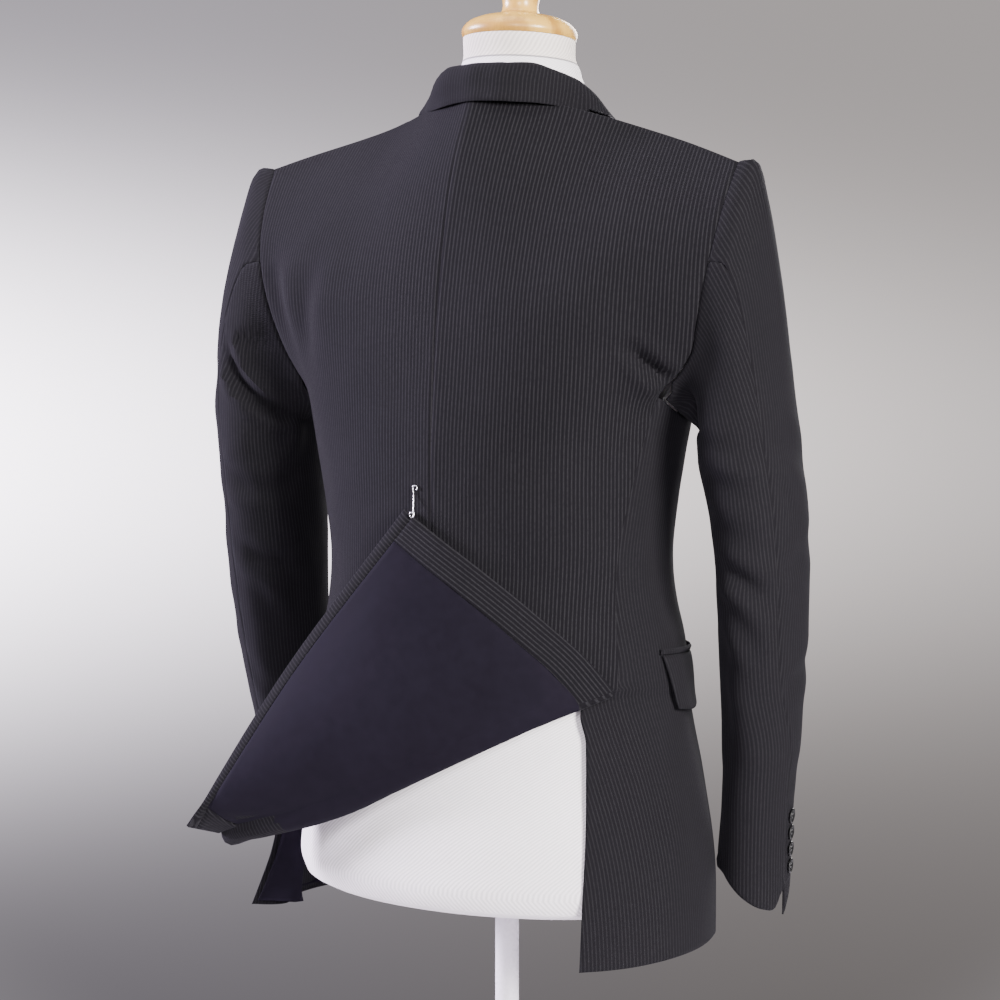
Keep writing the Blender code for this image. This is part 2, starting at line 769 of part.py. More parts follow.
def fold_line(count=61):
    """The standing layer's lower edge, from the left vent to the right one."""
    points = []
    for arc in np.linspace(FOLD[-1].arc, FOLD[0].arc, count):
        side_name = "left" if arc > 0 else "right"
        low = column(FOLD, "z", arc) + column(FOLD, "radius", arc)
        share = abs(arc) / seam_arc("back", side_name, 0.87)
        points.append(back_point(side_name, min(share, 1.0), low))
    return np.array(points)


def roll_radius(u):
    arc = FOLD[-1].arc + (FOLD[0].arc - FOLD[-1].arc) * np.asarray(u)
    return column(FOLD, "radius", arc)


def outward_at(points):
    """Level unit directions away from the pole's axis, on an oval."""
    away = points * np.array([1.0, 1.7, 0.0])
    return away / np.linalg.norm(away, axis=-1, keepdims=True)


def flap_patch():
    """The turned-up layer above the roll: u runs from the left vent edge to the right
    one, and v from the roll to the hem."""
    standing = fold_line()
    u = np.linspace(0, 1, len(standing))
    bottom = standing + 2 * roll_radius(u)[:, None] * outward_at(standing)
    arc, height = PINNED_CORNER
    pinned = on_ring(1, height, arc, FLAP_CLEARANCE)
    free = np.array(FREE_CORNER)
    hem = through([free, 0.5 * (free + pinned) + np.array(HEM_BOW), pinned])
    vent_run = np.linspace(0, 1, 25)
    arcs = FOLD[0].arc + (arc - FOLD[0].arc) * vent_run
    rise = 0.008 * np.sin(pi * vent_run)
    heights = bottom[-1][2] + (height - bottom[-1][2]) * vent_run + rise
    vent = np.array([on_ring(1, z, a, FLAP_CLEARANCE) for z, a in zip(heights, arcs)])
    vent[0] = bottom[-1]
    vent = through(vent[[0, 3, 8, 14, 20, 24]])
    left = through([bottom[0], 0.5 * (bottom[0] + free), free])

    def billow(u, v):
        swell = np.sin(pi * u) * np.sin(pi * v)
        return np.stack([0.002 * swell, 0.010 * swell, 0 * swell], axis=-1)

    return Patch(bottom, hem, left, vent, billow)


def flap_rows(patch, u, shares):
    """Rows of the flap that follow its hem: shares are measured from the roll, and the
    last but one is the hem facing's inner edge at every column."""
    left_depth = lengths(patch.start)[-1]
    right_depth = lengths(patch.end)[-1]
    depth = left_depth + (right_depth - left_depth) * u
    strip = HEM_FACING_WIDTH / depth
    rows = [patch.at(u, share * (1 - strip)) for share in shares]
    rows.append(patch.at(u, np.ones_like(u)))
    return clear_of_body(np.array(rows), FLAP_CLEARANCE)


def flap_columns(patch):
    """Columns from the left vent edge to the right one, with one on each facing's edge."""
    width = 0.5 * (lengths(patch.bottom)[-1] + lengths(patch.top)[-1])
    strip = FACING_WIDTH / width
    return np.concatenate([[0.0], np.linspace(strip, 1 - strip, 12), [1 - strip / 2, 1.0]])


def turned_skirt():
    """The suiting of the turned-up skirt with its roll, then what lies on it."""
    patch = flap_patch()
    u = flap_columns(patch)
    standing = along(fold_line(), u)
    out = outward_at(standing)
    start = standing - CLOTH * out
    radius = roll_radius(u)[:, None] + CLOTH / 2
    down = np.array([0.0, 0.0, -1.0])
    roll = []
    for turn in np.linspace(0, pi, 7)[:-1]:
        drop = radius * sin(turn) + ROLL_GAP
        roll.append(start + radius * (1 - cos(turn)) * out + drop * down)
    face = flap_rows(patch, u, np.linspace(0, 1, 7))
    grid = np.concatenate([np.array(roll), face])
    normals = normals_of(grid)
    normals *= np.sign(np.sum(normals[-4] * outward_at(grid[-4])))
    cloth("back_skirt_turned", grid, normals=normals)
    on_face(face, normals[len(roll):])


def on_face(face, normals):
    """The lining, the vent facings and the hem facing that lie on the turned skirt."""
    layer = face + LAYER_GAP * normals
    across_rows = slice(None, -1)
    pieces = {
        "back_skirt_lining": (across_rows, slice(1, -2), "lining"),
        "vent_facing_left": (across_rows, slice(None, 2), "suiting"),
        "vent_facing_right": (across_rows, slice(-3, None), "suiting"),
        "hem_facing": (slice(-2, None), slice(None), "suiting"),
    }
    for name, (rows, columns, look) in pieces.items():
        grid = trimmed(layer[rows, columns], SEAM_GAP / 2)
        cloth(name, grid, look, LINING, normals[rows, columns], outward=True)


def trimmed(grid, gap):
    """The grid with its four edges drawn in by a gap."""
    grid = grid.copy()
    for line in (grid, grid[::-1], grid.transpose(1, 0, 2), grid.transpose(1, 0, 2)[::-1]):
        step = line[1] - line[0]
        line[0] += step * gap / np.linalg.norm(step, axis=-1, keepdims=True)
    return grid


# ------------------------------------------------------------------ side panels


def side_edges(side_name, z):
    """The side panel's arcs at one height: its back edge, with the underlap below the
    vent's top, and its front seam."""
    back = seam_arc("back", side_name, z)
    if side_name == "right":
        back = back - UNDERLAP * ease(seam_levels(side_name)[0] - z, 0.0, VENT_TOP_SLANT)
    return back + SEAM_GAP, seam_arc("front", side_name, z) - SEAM_GAP / 2


def side_point(side_name, share, z, clear=0.0):
    side = SIDES[side_name]
    start, end = side_edges(side_name, z)
    if side_name == "right":
        below_vent = ease(seam_levels(side_name)[0] - z, 0.0, VENT_TOP_SLANT)
        clear = clear - UNDERLAP_SINK * below_vent * (1 - ease(share, 0.12, 0.35))
    point = on_ring(side, z, start + (end - start) * share, clear)
    if side_name == "left":
        point = swung_out(point, share, z)
    return point


def swung_out(point, share, z):
    """The left panel's vent edge, which swings out below the vent's top."""
    amount = ease(VENT_TOP - z, 0.0, VENT_TOP - LEFT_SWING[-1].z)
    low = min(z, LEFT_SWING[-1].z)
    edge = np.array([column(LEFT_SWING, "edge_x", low), column(LEFT_SWING, "edge_y", low), z])
    crease = np.array([column(LEFT_SWING, "crease_x", low), column(LEFT_SWING, "crease_y", low), z])
    crease_share = 0.24
    if share <= crease_share:
        reach = ease(share, 0.0, crease_share) if share > 0 else share / crease_share
        aim = edge + (crease - edge) * reach
        return point + amount * (aim - point)
    pull = 1 - ease(share, crease_share, 0.62)
    line = on_ring(1, z, side_edges("left", z)[0] + crease_share * 0.15)
    return point + amount * pull * (crease - line)


def side_top(share):
    """The armhole's base, which dips under the arm."""
    return ARMHOLE_BASE - UNDERARM_DIP * max(sin(pi * share), 0.0) ** 1.2


def side_heights(side_name, share):
    """A side panel's heights at one column: the skirt's, then the seam's shared ones."""
    seam = seam_levels(side_name)
    hem = HEM + HEM_LIFT * ease(share, 0.2, 0.55)
    skirt = np.linspace(hem, seam[0] - VENT_TOP_SLANT, {"right": 8, "left": 4}[side_name])
    return np.concatenate([skirt, stretched(seam, seam[0], side_top(share))])


def side_column(side_name, share):
    heights = side_heights(side_name, share)
    return np.array([side_point(side_name, share, z) for z in heights])


def side_grid(side_name):
    """The side panel's points and normals."""
    shares = np.concatenate([np.linspace(0, 0.24, 3), np.linspace(0.24, 1, 6)[1:]])
    grid = np.array([side_column(side_name, share) for share in shares]).transpose(1, 0, 2)
    before = side_column(side_name, -shares[1])
    after = side_column(side_name, 2 - shares[-2])
    return grid, between_neighbours(grid, before, after)


def side_panel(side_name):
    grid, normals = side_grid(side_name)
    cloth(f"side_{side_name}", grid, normals=normals)


def side_lining():
    """The lining inside the left side panel, where the open vent shows it."""
    grid, normals = side_grid("left")
    inside = grid - normals * (CLOTH + LAYER_GAP)
    shown = slice(0, 7)
    lining = trimmed(inside[shown], 0.006)
    cloth("side_lining_left", lining, "lining", LINING, normals[shown])


# ----------------------------------------------------------------- front panels


def front_clear(side_name, arc, z):
    """The left front laps over the right one at the centre front."""
    if side_name == "right":
        return 0.0
    centre = half_girth(SIDES[side_name], z)
    return FRONT_LAP * ease(arc, centre - 0.075, centre - 0.030)


def front_edges(side_name, z):
    side = SIDES[side_name]
    start = seam_arc("front", side_name, z) + SEAM_GAP / 2
    return start, half_girth(side, z) + column(FRONT_EDGE, "past", min(z, BREAK_HEIGHT))


def front_point(side_name, share, z, clear=0.0):
    """A point of the lower front: share 0 is the side seam and 1 the front edge."""
    start, end = front_edges(side_name, z)
    arc = start + (end - start) * share
    lap = front_clear(side_name, arc, z)
    return on_ring(SIDES[side_name], z, arc, clear + lap)


def roll_line(side_name):
    """The front's edge above the break, up to the neck point."""
    side = SIDES[side_name]
    lap = FRONT_LAP if side_name == "left" else 0.0
    return through(
        [
            front_point(side_name, 1.0, BREAK_HEIGHT),
            (side * 0.022, -0.1150 - lap, 1.180),
            (side * 0.050, -0.1120 - 0.5 * lap, 1.290),
            (side * 0.070, -0.0780, 1.390),
            (side * 0.079, -0.0350, 1.442),
            shoulder_points(side_name)[0],
        ]
    )


def front_patch(side_name):
    """The front above the break, between the armhole and the roll line."""
    bottom = np.array([front_point(side_name, s, BREAK_HEIGHT) for s in np.linspace(0, 1, 41)])
    heights = np.linspace(BREAK_HEIGHT, ARMHOLE_BASE, 33)[:-1]
    seam = np.array([front_point(side_name, 0, z) for z in heights])
    outer = np.concatenate([seam, armhole_edge(side_name, "front")])
    shoulder = through(shoulder_points(side_name)[::-1])

    def chest(u, v):
        swell = np.sin(pi * np.clip(u, 0, 1)) ** 0.9 * np.sin(pi * v**0.9)
        return np.stack([0 * u, -CHEST_FULLNESS * swell, 0 * u], axis=-1)

    return Patch(bottom, shoulder, outer, roll_line(side_name), chest)


def front_grid(side_name):
    """The front's points and normals: rings up to the break, and the patch above it."""
    patch = front_patch(side_name)
    shares = np.linspace(0, 1, 9)
    seam = side_heights(side_name, 1.0)
    lower = seam[seam < BREAK_HEIGHT - SEAM_GAP]
    step = shares[1]
    columns = []
    for share in (-step, *shares):
        hem = HEM + HEM_LIFT * (1 - ease(share, 0.0, 0.4))
        heights = stretched(np.append(lower, BREAK_HEIGHT), hem, BREAK_HEIGHT)[:-1]
        columns.append([front_point(side_name, share, z) for z in heights])
    rows = list(np.array(columns).transpose(1, 0, 2))
    edge = lengths(patch.start) / lengths(patch.start)[-1]
    sewn = slice(0, 33)
    levels = np.interp(seam[len(lower) :], patch.start[sewn, 2], edge[sewn])
    levels = np.concatenate([levels, np.linspace(levels[-1], 1, 9)[1:]])
    for level in levels:
        row = patch.at(shares, np.full_like(shares, level))
        rows.append(np.concatenate([2 * row[:1] - row[1:2], row]))
    wide = np.array(rows)
    wide[:, 1:] = blended_rows(wide[:, 1:], len(lower))
    return wide[:, 1:], between_neighbours(wide[:, 1:], wide[:, 0])


def front_panel(side_name):
    grid, normals = front_grid(side_name)
    cloth(f"front_{side_name}", grid, normals=normals)


def lapel_grid(side_name, shares, levels):
    """The lapel's points on the front: shares run from the roll line to its edge."""
    patch = front_patch(side_name)
    width = lengths(np.array(patch.at(np.linspace(0, 1, 21), np.full(21, 0.55))))[-1]
    rows = []
    for level in levels:
        tops = GORGE_AT_ROLL + (GORGE_AT_TIP - GORGE_AT_ROLL) * shares
        reach = column(LAPEL, "width", level) / width
        rows.append(patch.at(1 - shares * reach, level * tops))
    return np.array(rows)


def lapel(side_name):
    shares = np.linspace(0, 1, 5)
    levels = np.linspace(LAPEL_FROM[side_name], 1, 11)
    grid = lapel_grid(side_name, shares, levels)
    normals = outward_normals(grid, CHEST_CENTRE)
    swell = np.sin(pi * shares)[None, :] ** 0.7 * ease(levels, 0.0, 0.3)[:, None]
    grid = grid + normals * (LAPEL_SEAT + LAPEL_SWELL * swell)[..., None]
    cloth(f"lapel_{side_name}", grid, normals=outward_normals(grid, CHEST_CENTRE), outward=True)


# ------------------------------------------------------------------- the collar


def neck_skin():
    """Points and outward normals of the back, fronts and shoulders round the neck."""
    spots, normals = [], []
    across, up = np.meshgrid(np.linspace(0, 1, 41), np.linspace(0.6, 1, 33))
    for side_name in SIDES:
        for patch in (back_patch(side_name), front_patch(side_name)):
            grid = patch.at(across, up)
            spots.append(grid.reshape(-1, 3))
            normals.append(outward_normals(grid, (0.0, 0.0, 1.3)).reshape(-1, 3))
    return np.concatenate(spots), np.concatenate(normals)


def collar_foot(side_name, place):
    """The neckline's point that the collar is sewn inside, and the way out from it."""
    front = roll_line(side_name)[::-1]
    front_part = (place - COLLAR_AT_NECK_POINT) / (1 - COLLAR_AT_NECK_POINT)
    if place <= COLLAR_AT_NECK_POINT:
        spot = along(neckline(side_name), np.array([place / COLLAR_AT_NECK_POINT]))[0]
    else:
        spot = along(front, np.array([front_part * (1 - COLLAR_END)]))[0]
    out = spot * np.array([1.0, 1.0, 0.0]) - np.array([0.0, NECK_SHIFT, 0.0])
    return spot, out / np.linalg.norm(out)


def collar():
    """Stand and leaf as one folded strip, from one lapel round the neck to the other."""
    skin = neck_skin()
    grid = []
    for place in np.linspace(-1, 1, 27):
        side_name = "left" if place >= 0 else "right"
        side = SIDES[side_name]
        row = {name: column(COLLAR, name, abs(place)) for name in Collar._fields[1:]}
        roll = np.array([side * row["roll_x"], row["roll_y"], row["roll_z"]])
        leaf = np.array([side * row["leaf_x"], row["leaf_y"], row["leaf_z"]])
        leaf = laid_on(leaf, skin, COLLAR_CLEAR)
        spot, out = collar_foot(side_name, abs(place))
        foot = spot - (2 * CLOTH + COLLAR_SEAM) * out
        fold = 0.0022 * out
        line = through([foot, roll - fold, roll + fold, leaf], 41)
        profile = along(line, np.concatenate([np.linspace(0, 0.42, 3), np.linspace(0.5, 1, 5)]))
        profile[4:] = laid_on(profile[4:], skin, COLLAR_CLEAR, lift_only=True)
        grid.append(profile)
    grid = np.array(grid)
    normals = normals_of(grid)
    normals *= np.sign(np.sum(normals[:, -2] * outward_at(grid[:, -2])))
    cloth("collar", grid, normals=normals)


# ------------------------------------------------------------------ the sleeves


def armhole_loop(side_name):
    """The whole armhole from the shoulder point, down the back and up the front."""
    side = SIDES[side_name]
    back_arc = seam_arc("back", side_name, ARMHOLE_BASE)
    front_arc = seam_arc("front", side_name, ARMHOLE_BASE)
    under = []
    for share in np.linspace(0, 1, 13)[1:-1]:
        under.append(on_ring(side, side_top(share), back_arc + (front_arc - back_arc) * share))
    back = armhole_edge(side_name, "back")[::-1]
    return np.concatenate([back, np.array(under), armhole_edge(side_name, "front")])


def sleeve_point(side_name, turn, z):
    """A point of the sleeve's tube: turn 0 faces out, 90 back and 180 the body."""
    side = SIDES[side_name]
    table = SLEEVES[side_name][::-1]
    angle = radians(turn + column(table, "turn", z))
    out = column(table, "out", z) + column(table, "half_out", z) * cos(angle)
    back = column(table, "back", z) + column(table, "half_back", z) * sin(angle)
    return np.array([side * out, back, z])


def hermite(start, end, leave, arrive, t):
    return (
        (2 * t**3 - 3 * t**2 + 1) * start
        + (t**3 - 2 * t**2 + t) * leave
        + (3 * t**2 - 2 * t**3) * end
        + (t**3 - t**2) * arrive
    )


def arm_point(side_name, turn, t):
    """A point of the sleeve below its head: t is 0 at the first ring and 1 at the cuff."""
    table = SLEEVES[side_name]
    z = table[0].z + (table[-1].z - table[0].z) * t
    rise = CUFF_RISE[side_name] * cos(radians(turn + table[-1].turn - CUFF_RISE_FACES))
    return sleeve_point(side_name, turn, z) + np.array([0.0, 0.0, rise * t**4])


def sleeve_line(side_name, turn, lengthened=0.0, opened=0.0):
    """One line of cloth from the armhole to the cuff, where it can be longer and be
    turned away from the vent."""
    side = SIDES[side_name]
    loop = armhole_loop(side_name)
    start = along(loop, np.array([turn / 360 % 1.0]))[0]
    centre = loop.mean(axis=0)
    start = centre + (start - centre) * 1.006 + np.array([side * SLEEVE_SET_OUT, 0, 0])
    end = arm_point(side_name, turn, 0.0)
    crown = (1 + cos(radians(turn))) / 2
    head = Head(*(low + (high - low) * crown for low, high in zip(UNDERARM, HEADS[side_name])))
    leave = np.array([side * head.leave_out, 0.0, head.leave_up])
    arrive = np.array([side * head.arrive_out, 0.0, -head.arrive_down])
    line = [hermite(start, end, leave, arrive, t) for t in np.linspace(0, 1, 7)[:-1]]
    for t in np.linspace(0, 1, 10):
        line.append(arm_point(side_name, turn + opened * t**8, t + lengthened * t**16))
    return np.array(line)


def cuff_corner(piece, side_name, turn):
    """The vent at the right cuff: the under sleeve's corner is cut away beside the seam,
    and the upper sleeve's corner laps down past it. A share of the sleeve's length, and
    degrees that the corner is turned away from the seam."""
    if side_name == "left":
        return 0.0, 0.0
    table = SLEEVES[side_name]
    near_seam = 1 - ease(abs(turn - HINDARM_ANGLE), 1.0, 24.0)
    share = near_seam / (table[0].z - table[-1].z)
    if piece == "under_sleeve":
        return -CUFF_NOTCH * share, CUFF_OPENS * near_seam
    return CUFF_LAP * share, 0.0


def sleeve(side_name):
    """The upper and under sleeve, sewn along the hindarm and forearm seams."""
    trim = SLEEVE_SEAM_TRIM
    fore, hind = FOREARM_ANGLE - trim, HINDARM_ANGLE + trim
    spans = {
        "upper_sleeve": across_shares(0.0, 6, 3, fore + 2 * trim - 360, hind - 2 * trim),
        "under_sleeve": np.linspace(hind, fore, 9),
    }
    axis = SLEEVES[side_name][2]
    for piece, turns in spans.items():
        step = turns[1] - turns[0]
        wide = [turns[0] - step, *turns, turns[-1] + step]
        corners = [cuff_corner(piece, side_name, turn) for turn in wide]
        lines = [sleeve_line(side_name, turn, *corner) for turn, corner in zip(wide, corners)]
        grid = np.array(lines).transpose(1, 0, 2)
        middle = (SIDES[side_name] * axis.out, axis.back, axis.z)
        normals = outward_normals(grid, middle)
        cloth(f"{piece}_{side_name}", grid[:, 1:-1], normals=normals[:, 1:-1])


# --------------------------------------------------------- pockets and buttons


def outer_skin(side_name, arc, z, clear):
    """A point of the side or front at an arc from the centre back, moved out."""
    side = SIDES[side_name]
    return on_ring(side, z, arc, clear + front_clear(side_name, arc, z))


def hip_skin(side_name):
    """The side panel and the front, for what is sewn on them."""
    return joined(facets(side_grid(side_name)[0]), facets(front_grid(side_name)[0]))


def pocket_flap(side_name):
    """The hip pocket's flap, over the side panel and the front, with its jet above."""
    skin = hip_skin(side_name)
    start = seam_arc("front", side_name, POCKET.top) - POCKET.behind_seam
    shares = np.linspace(0, 1, 9)
    rounded = POCKET.corner * (ease(shares, 0.88, 1.0) + ease(1 - shares, 0.92, 1.0) / 3)
    rows = []
    for t in np.linspace(0, 1, 5):
        heights = POCKET.top - POCKET.fall * shares - POCKET.depth * t + rounded * t**3
        arcs = start + POCKET.slant * t + POCKET.length * shares
        row = [outer_skin(side_name, arc, z, 0.0) for arc, z in zip(arcs, heights)]
        rows.append(laid_on(row, skin, POCKET_SEAT + POCKET_STAND * ease(t, 0.0, 0.5)))
    cloth(f"pocket_flap_{side_name}", np.array(rows), outward=True)
    jet = []
    for rise in (JET_GAP, JET_GAP + JET_WIDTH):
        heights = POCKET.top - POCKET.fall * shares + rise
        arcs = start - JET_PAST + (POCKET.length + 2 * JET_PAST) * shares
        row = [outer_skin(side_name, arc, z, 0.0) for arc, z in zip(arcs, heights)]
        jet.append(laid_on(row, skin, POCKET_SEAT))
    cloth(f"pocket_jet_{side_name}", np.array(jet), outward=True)


def breast_welt():
    """The welt pocket on the wearer's left chest, placed by shares of the front."""
    patch = front_patch("left")
    across = np.linspace(WELT.inner, WELT.outer, 6)
    slope = np.linspace(0, WELT.slope, 6)
    rows = [patch.at(across, WELT.low + slope + rise) for rise in np.linspace(0, WELT.rise, 3)]
    grid = laid_on(rows, facets(front_grid("left")[0]), POCKET_SEAT)
    cloth("breast_welt", grid, normals=outward_normals(grid, CHEST_CENTRE), outward=True)


def button(name, centre, facing, radius):
    """A turned button with a raised rim, its back on the cloth at centre."""
    profile = [(radius * row.out, radius * row.up) for row in BUTTON]
    obj = turned(name, profile, "button", 10)
    normal = np.asarray(facing, float)
    normal /= np.linalg.norm(normal)
    turn_x = np.cross([0.0, 0.0, 1.0], normal)
    turn_x /= np.linalg.norm(turn_x)
    turn_y = np.cross(normal, turn_x)
    for vert in obj.data.vertices:
        x, y, z = vert.co
        vert.co = np.asarray(centre) + x * turn_x + y * turn_y + z * normal


def front_buttons():
    """Two buttons down the left front's edge."""
    side = SIDES["left"]
    skin = facets(front_grid("left")[0])
    for number in range(2):
        z = BREAK_HEIGHT - BUTTON_BELOW_BREAK - number * BUTTON_SPACING
        on = laid_on(outer_skin("left", half_girth(side, z), z, 0.0), skin, BUTTON_SEAT)
        button(f"front_button_{number + 1}", on, (0, -1, 0.02), FRONT_BUTTON_RADIUS)


def cuff_buttons(side_name):
    """Four buttons up each cuff beside the vent, each nearly touching the next."""
    for number in range(4):
        t = CUFF_BUTTON_FROM + number * CUFF_BUTTON_PITCH
        on = arm_point(side_name, CUFF_BUTTON_ANGLE, t)
        before = arm_point(side_name, CUFF_BUTTON_ANGLE - 10, t)
        after = arm_point(side_name, CUFF_BUTTON_ANGLE + 10, t)
        down = arm_point(side_name, CUFF_BUTTON_ANGLE, t + 0.02) - on
        out = np.cross(before - after, down)
        out *= np.sign(out[0]) * SIDES[side_name] / np.linalg.norm(out)
        spot = on + out * CUFF_BUTTON_SEAT
        button(f"cuff_button_{side_name}_{number + 1}", spot, out, CUFF_BUTTON_RADIUS)


def safety_pin():
    """The pin that holds the turned-up corner: its front wire, coil and clasp."""
    arc, height = PINNED_CORNER
    wire = []
    for row in PIN_WIRE:
        wire.append(on_ring(1, height + row.up, arc + PIN_SET - PIN_LEAN * row.up, row.stand))
    line = through(wire, 10)
    points = []
    for turn in np.linspace(1.2 * pi, 0, 6)[:-1]:
        points.append(line[0] + pin_loop(turn, PIN_CLASP))
    points.extend(line)
    for turn in np.linspace(0, 2 * pi, 9)[1:]:
        points.append(line[-1] + pin_loop(turn, -PIN_COIL))
    curve = bpy.data.curves.new("safety_pin", "CURVE")
    curve.dimensions = "3D"
    curve.bevel_depth = PIN_WIRE_RADIUS
    curve.bevel_resolution = 0
    curve.use_fill_caps = True
    spline = curve.splines.new("POLY")
    spline.points.add(len(points) - 1)
    for spot, point in zip(spline.points, points):
        spot.co = (*point, 1.0)
    curve.materials.append(finish("steel"))
    obj = bpy.data.objects.new("safety_pin", curve)
    bpy.context.scene.collection.objects.link(obj)


def pin_loop(turn, radius):
    """A step round a loop of the pin's wire, which climbs clear of itself."""
    climb = PIN_WIRE_RADIUS * turn / pi
    return np.array([-radius * (1 - cos(turn)), climb, radius * sin(turn)])


# ---------------------------------------------------------------- the dress form


def dress_form():
    lofted("form_torso", FORM, "form_cover")
    neck = lofted("form_neck", NECK, "form_cover")
    for vert in neck.data.vertices:
        if vert.co.z > NECK_LEANS_FROM:
            vert.co.z += (vert.co.y - NECK_SHIFT) * tan(CAP_TILT)
    cap()
    seat = BASE_THICKNESS + SEAM_GAP
    foot = seat + SOCKET[-1].z + SEAM_GAP
    top = FORM_BASE - SEAM_GAP
    pole = [(0.0, foot), (POLE_RADIUS, foot), (POLE_RADIUS, top), (0.0, top)]
    turned("pole", pole, "stand", 24)
    turned("pole_socket", [(row.radius, seat + row.z) for row in SOCKET], "stand", 28)
    turned("base", [tuple(row) for row in BASE], "stand", 40)


def cap():
    """The turned wooden cap on the neck, which leans forward with it."""
    obj = turned("neck_cap", [tuple(row) for row in CAP], "form_wood", 20)
    for vert in obj.data.vertices:
        x, y, z = vert.co
        level = y * cos(CAP_TILT) - z * sin(CAP_TILT)
        height = y * sin(CAP_TILT) + z * cos(CAP_TILT)
        vert.co = (x, NECK_SHIFT + level, NECK_TOP + SEAM_GAP + height)


# -------------------------------------------------------------------- assembly


def clear_scene():
    for obj in list(bpy.data.objects):
        bpy.data.objects.remove(obj, do_unlink=True)


def main():
    clear_scene()
    dress_form()
    for side_name in SIDES:
        back_panel(side_name)
        side_panel(side_name)
        front_panel(side_name)
        lapel(side_name)
        sleeve(side_name)
        pocket_flap(side_name)
        cuff_buttons(side_name)
    turned_skirt()
    side_lining()
    collar()
    breast_welt()
    front_buttons()
    safety_pin()


main()
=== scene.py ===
"""The look of a pinstriped suit jacket on a limbless dress form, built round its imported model.

Each cloth piece is a thin shell laid through the points of its own solid, with its
creases, rolled edges and stripes. Metres, +Z up; the jacket's front faces -Y.
"""

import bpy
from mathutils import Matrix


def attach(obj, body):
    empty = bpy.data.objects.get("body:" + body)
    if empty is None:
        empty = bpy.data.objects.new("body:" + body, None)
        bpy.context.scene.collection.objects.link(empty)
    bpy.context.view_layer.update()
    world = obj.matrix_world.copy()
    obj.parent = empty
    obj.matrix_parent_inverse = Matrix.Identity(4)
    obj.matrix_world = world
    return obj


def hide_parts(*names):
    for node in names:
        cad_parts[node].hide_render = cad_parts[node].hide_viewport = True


bl_info = {
    "name": "Pinstriped jacket on a dress form",
    "version": (1, 0, 0),
    "blender": (4, 5, 0),
    "location": "3D View > Sidebar > Jacket",
    "description": "Cloth, trims, dress form and studio for a packed suit jacket",
    "category": "Object",
}

from collections import namedtuple
from math import cos, pi, radians, sin, tan

import bmesh
import bpy
import numpy as np
from bpy.props import FloatProperty, FloatVectorProperty, PointerProperty
from mathutils import Matrix, Vector, noise

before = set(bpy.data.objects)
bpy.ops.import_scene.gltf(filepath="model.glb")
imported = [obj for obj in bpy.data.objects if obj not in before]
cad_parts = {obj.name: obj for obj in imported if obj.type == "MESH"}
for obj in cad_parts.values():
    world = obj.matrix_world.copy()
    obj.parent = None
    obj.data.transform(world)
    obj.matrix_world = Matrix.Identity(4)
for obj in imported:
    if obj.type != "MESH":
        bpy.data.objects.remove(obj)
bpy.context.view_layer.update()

# ------------------------------------------------------------------- settings


def colour_prop(name, description, default):
    return FloatVectorProperty(
        name=name, description=description, subtype="COLOR", min=0, max=1, default=default
    )


def length_prop(name, description, default):
    return FloatProperty(
        name=name, description=description, unit="LENGTH", min=0, precision=5, default=default
    )


def power_prop(name, description, default):
    return FloatProperty(
        name=name, description=description, unit="POWER", min=0, default=default
    )


class ClothSettings(bpy.types.PropertyGroup):
    ground: colour_prop("Ground", "Colour of the cloth between its stripes", (0.007, 0.0065, 0.008))
    stripe: colour_prop("Stripe", "Colour of the cloth's stripes", (0.0185, 0.0178, 0.0201))
    lining: colour_prop("Lining", "Colour of the lining", (0.0086, 0.0072, 0.0116))
    button: colour_prop("Buttons", "Colour of the buttons", (0.0035, 0.0035, 0.0040))
    pitch: length_prop("Stripe pitch", "Distance from one stripe to the next", 0.0035)
    width: length_prop("Stripe width", "Width of each stripe", 0.0011)
    wall: length_prop("Cloth thickness", "Thickness of the suiting", 0.0016)
    facing: length_prop("Lining thickness", "Thickness of the lining and facings", 0.0010)
    spacing: length_prop("Mesh spacing", "Distance between the cloth's points", 0.0050)
    crease: FloatProperty(
        name="Crease strength",
        description="Scales the depth of every crease",
        min=0,
        max=2,
        default=1.0,
    )


class FormSettings(bpy.types.PropertyGroup):
    cover: colour_prop("Cover", "Colour of the form's woven cover", (0.93, 0.885, 0.912))
    wood: colour_prop("Wood", "Colour of the turned cap's pale bands", (0.65, 0.385, 0.078))
    paint: colour_prop("Paint", "Colour of the pole and base", (0.86, 0.82, 0.90))


class StudioSettings(bpy.types.PropertyGroup):
    floor: colour_prop("Floor", "Colour of the studio floor", (0.60, 0.59, 0.60))
    around: colour_prop("Around", "Colour of the light from all round", (0.108, 0.104, 0.113))
    plain: colour_prop(
        "Plain backdrop", "Colour of the backdrop away from its lit place", (0.62, 0.59, 0.61)
    )
    key: power_prop("Key", "Power of the light on the left", 690.0)
    fill: power_prop("Fill", "Power of the light on the right", 470.0)
    top: power_prop("Top", "Power of the light above", 55.0)
    back: power_prop("Back", "Power of the light behind the camera", 132.0)
    front: power_prop("Front", "Power of the light on the jacket's front", 170.0)


SETTINGS = {
    "cloth_settings": ClothSettings,
    "form_settings": FormSettings,
    "studio_settings": StudioSettings,
}


# --------------------------------------------------------------- cloth pieces

# The wearer's own sides.
LEFT, RIGHT = (1, 0, 0), (-1, 0, 0)
FRONT, BACK = (0, -1, 0), (0, 1, 0)
UP, DOWN = (0, 0, 1), (0, 0, -1)

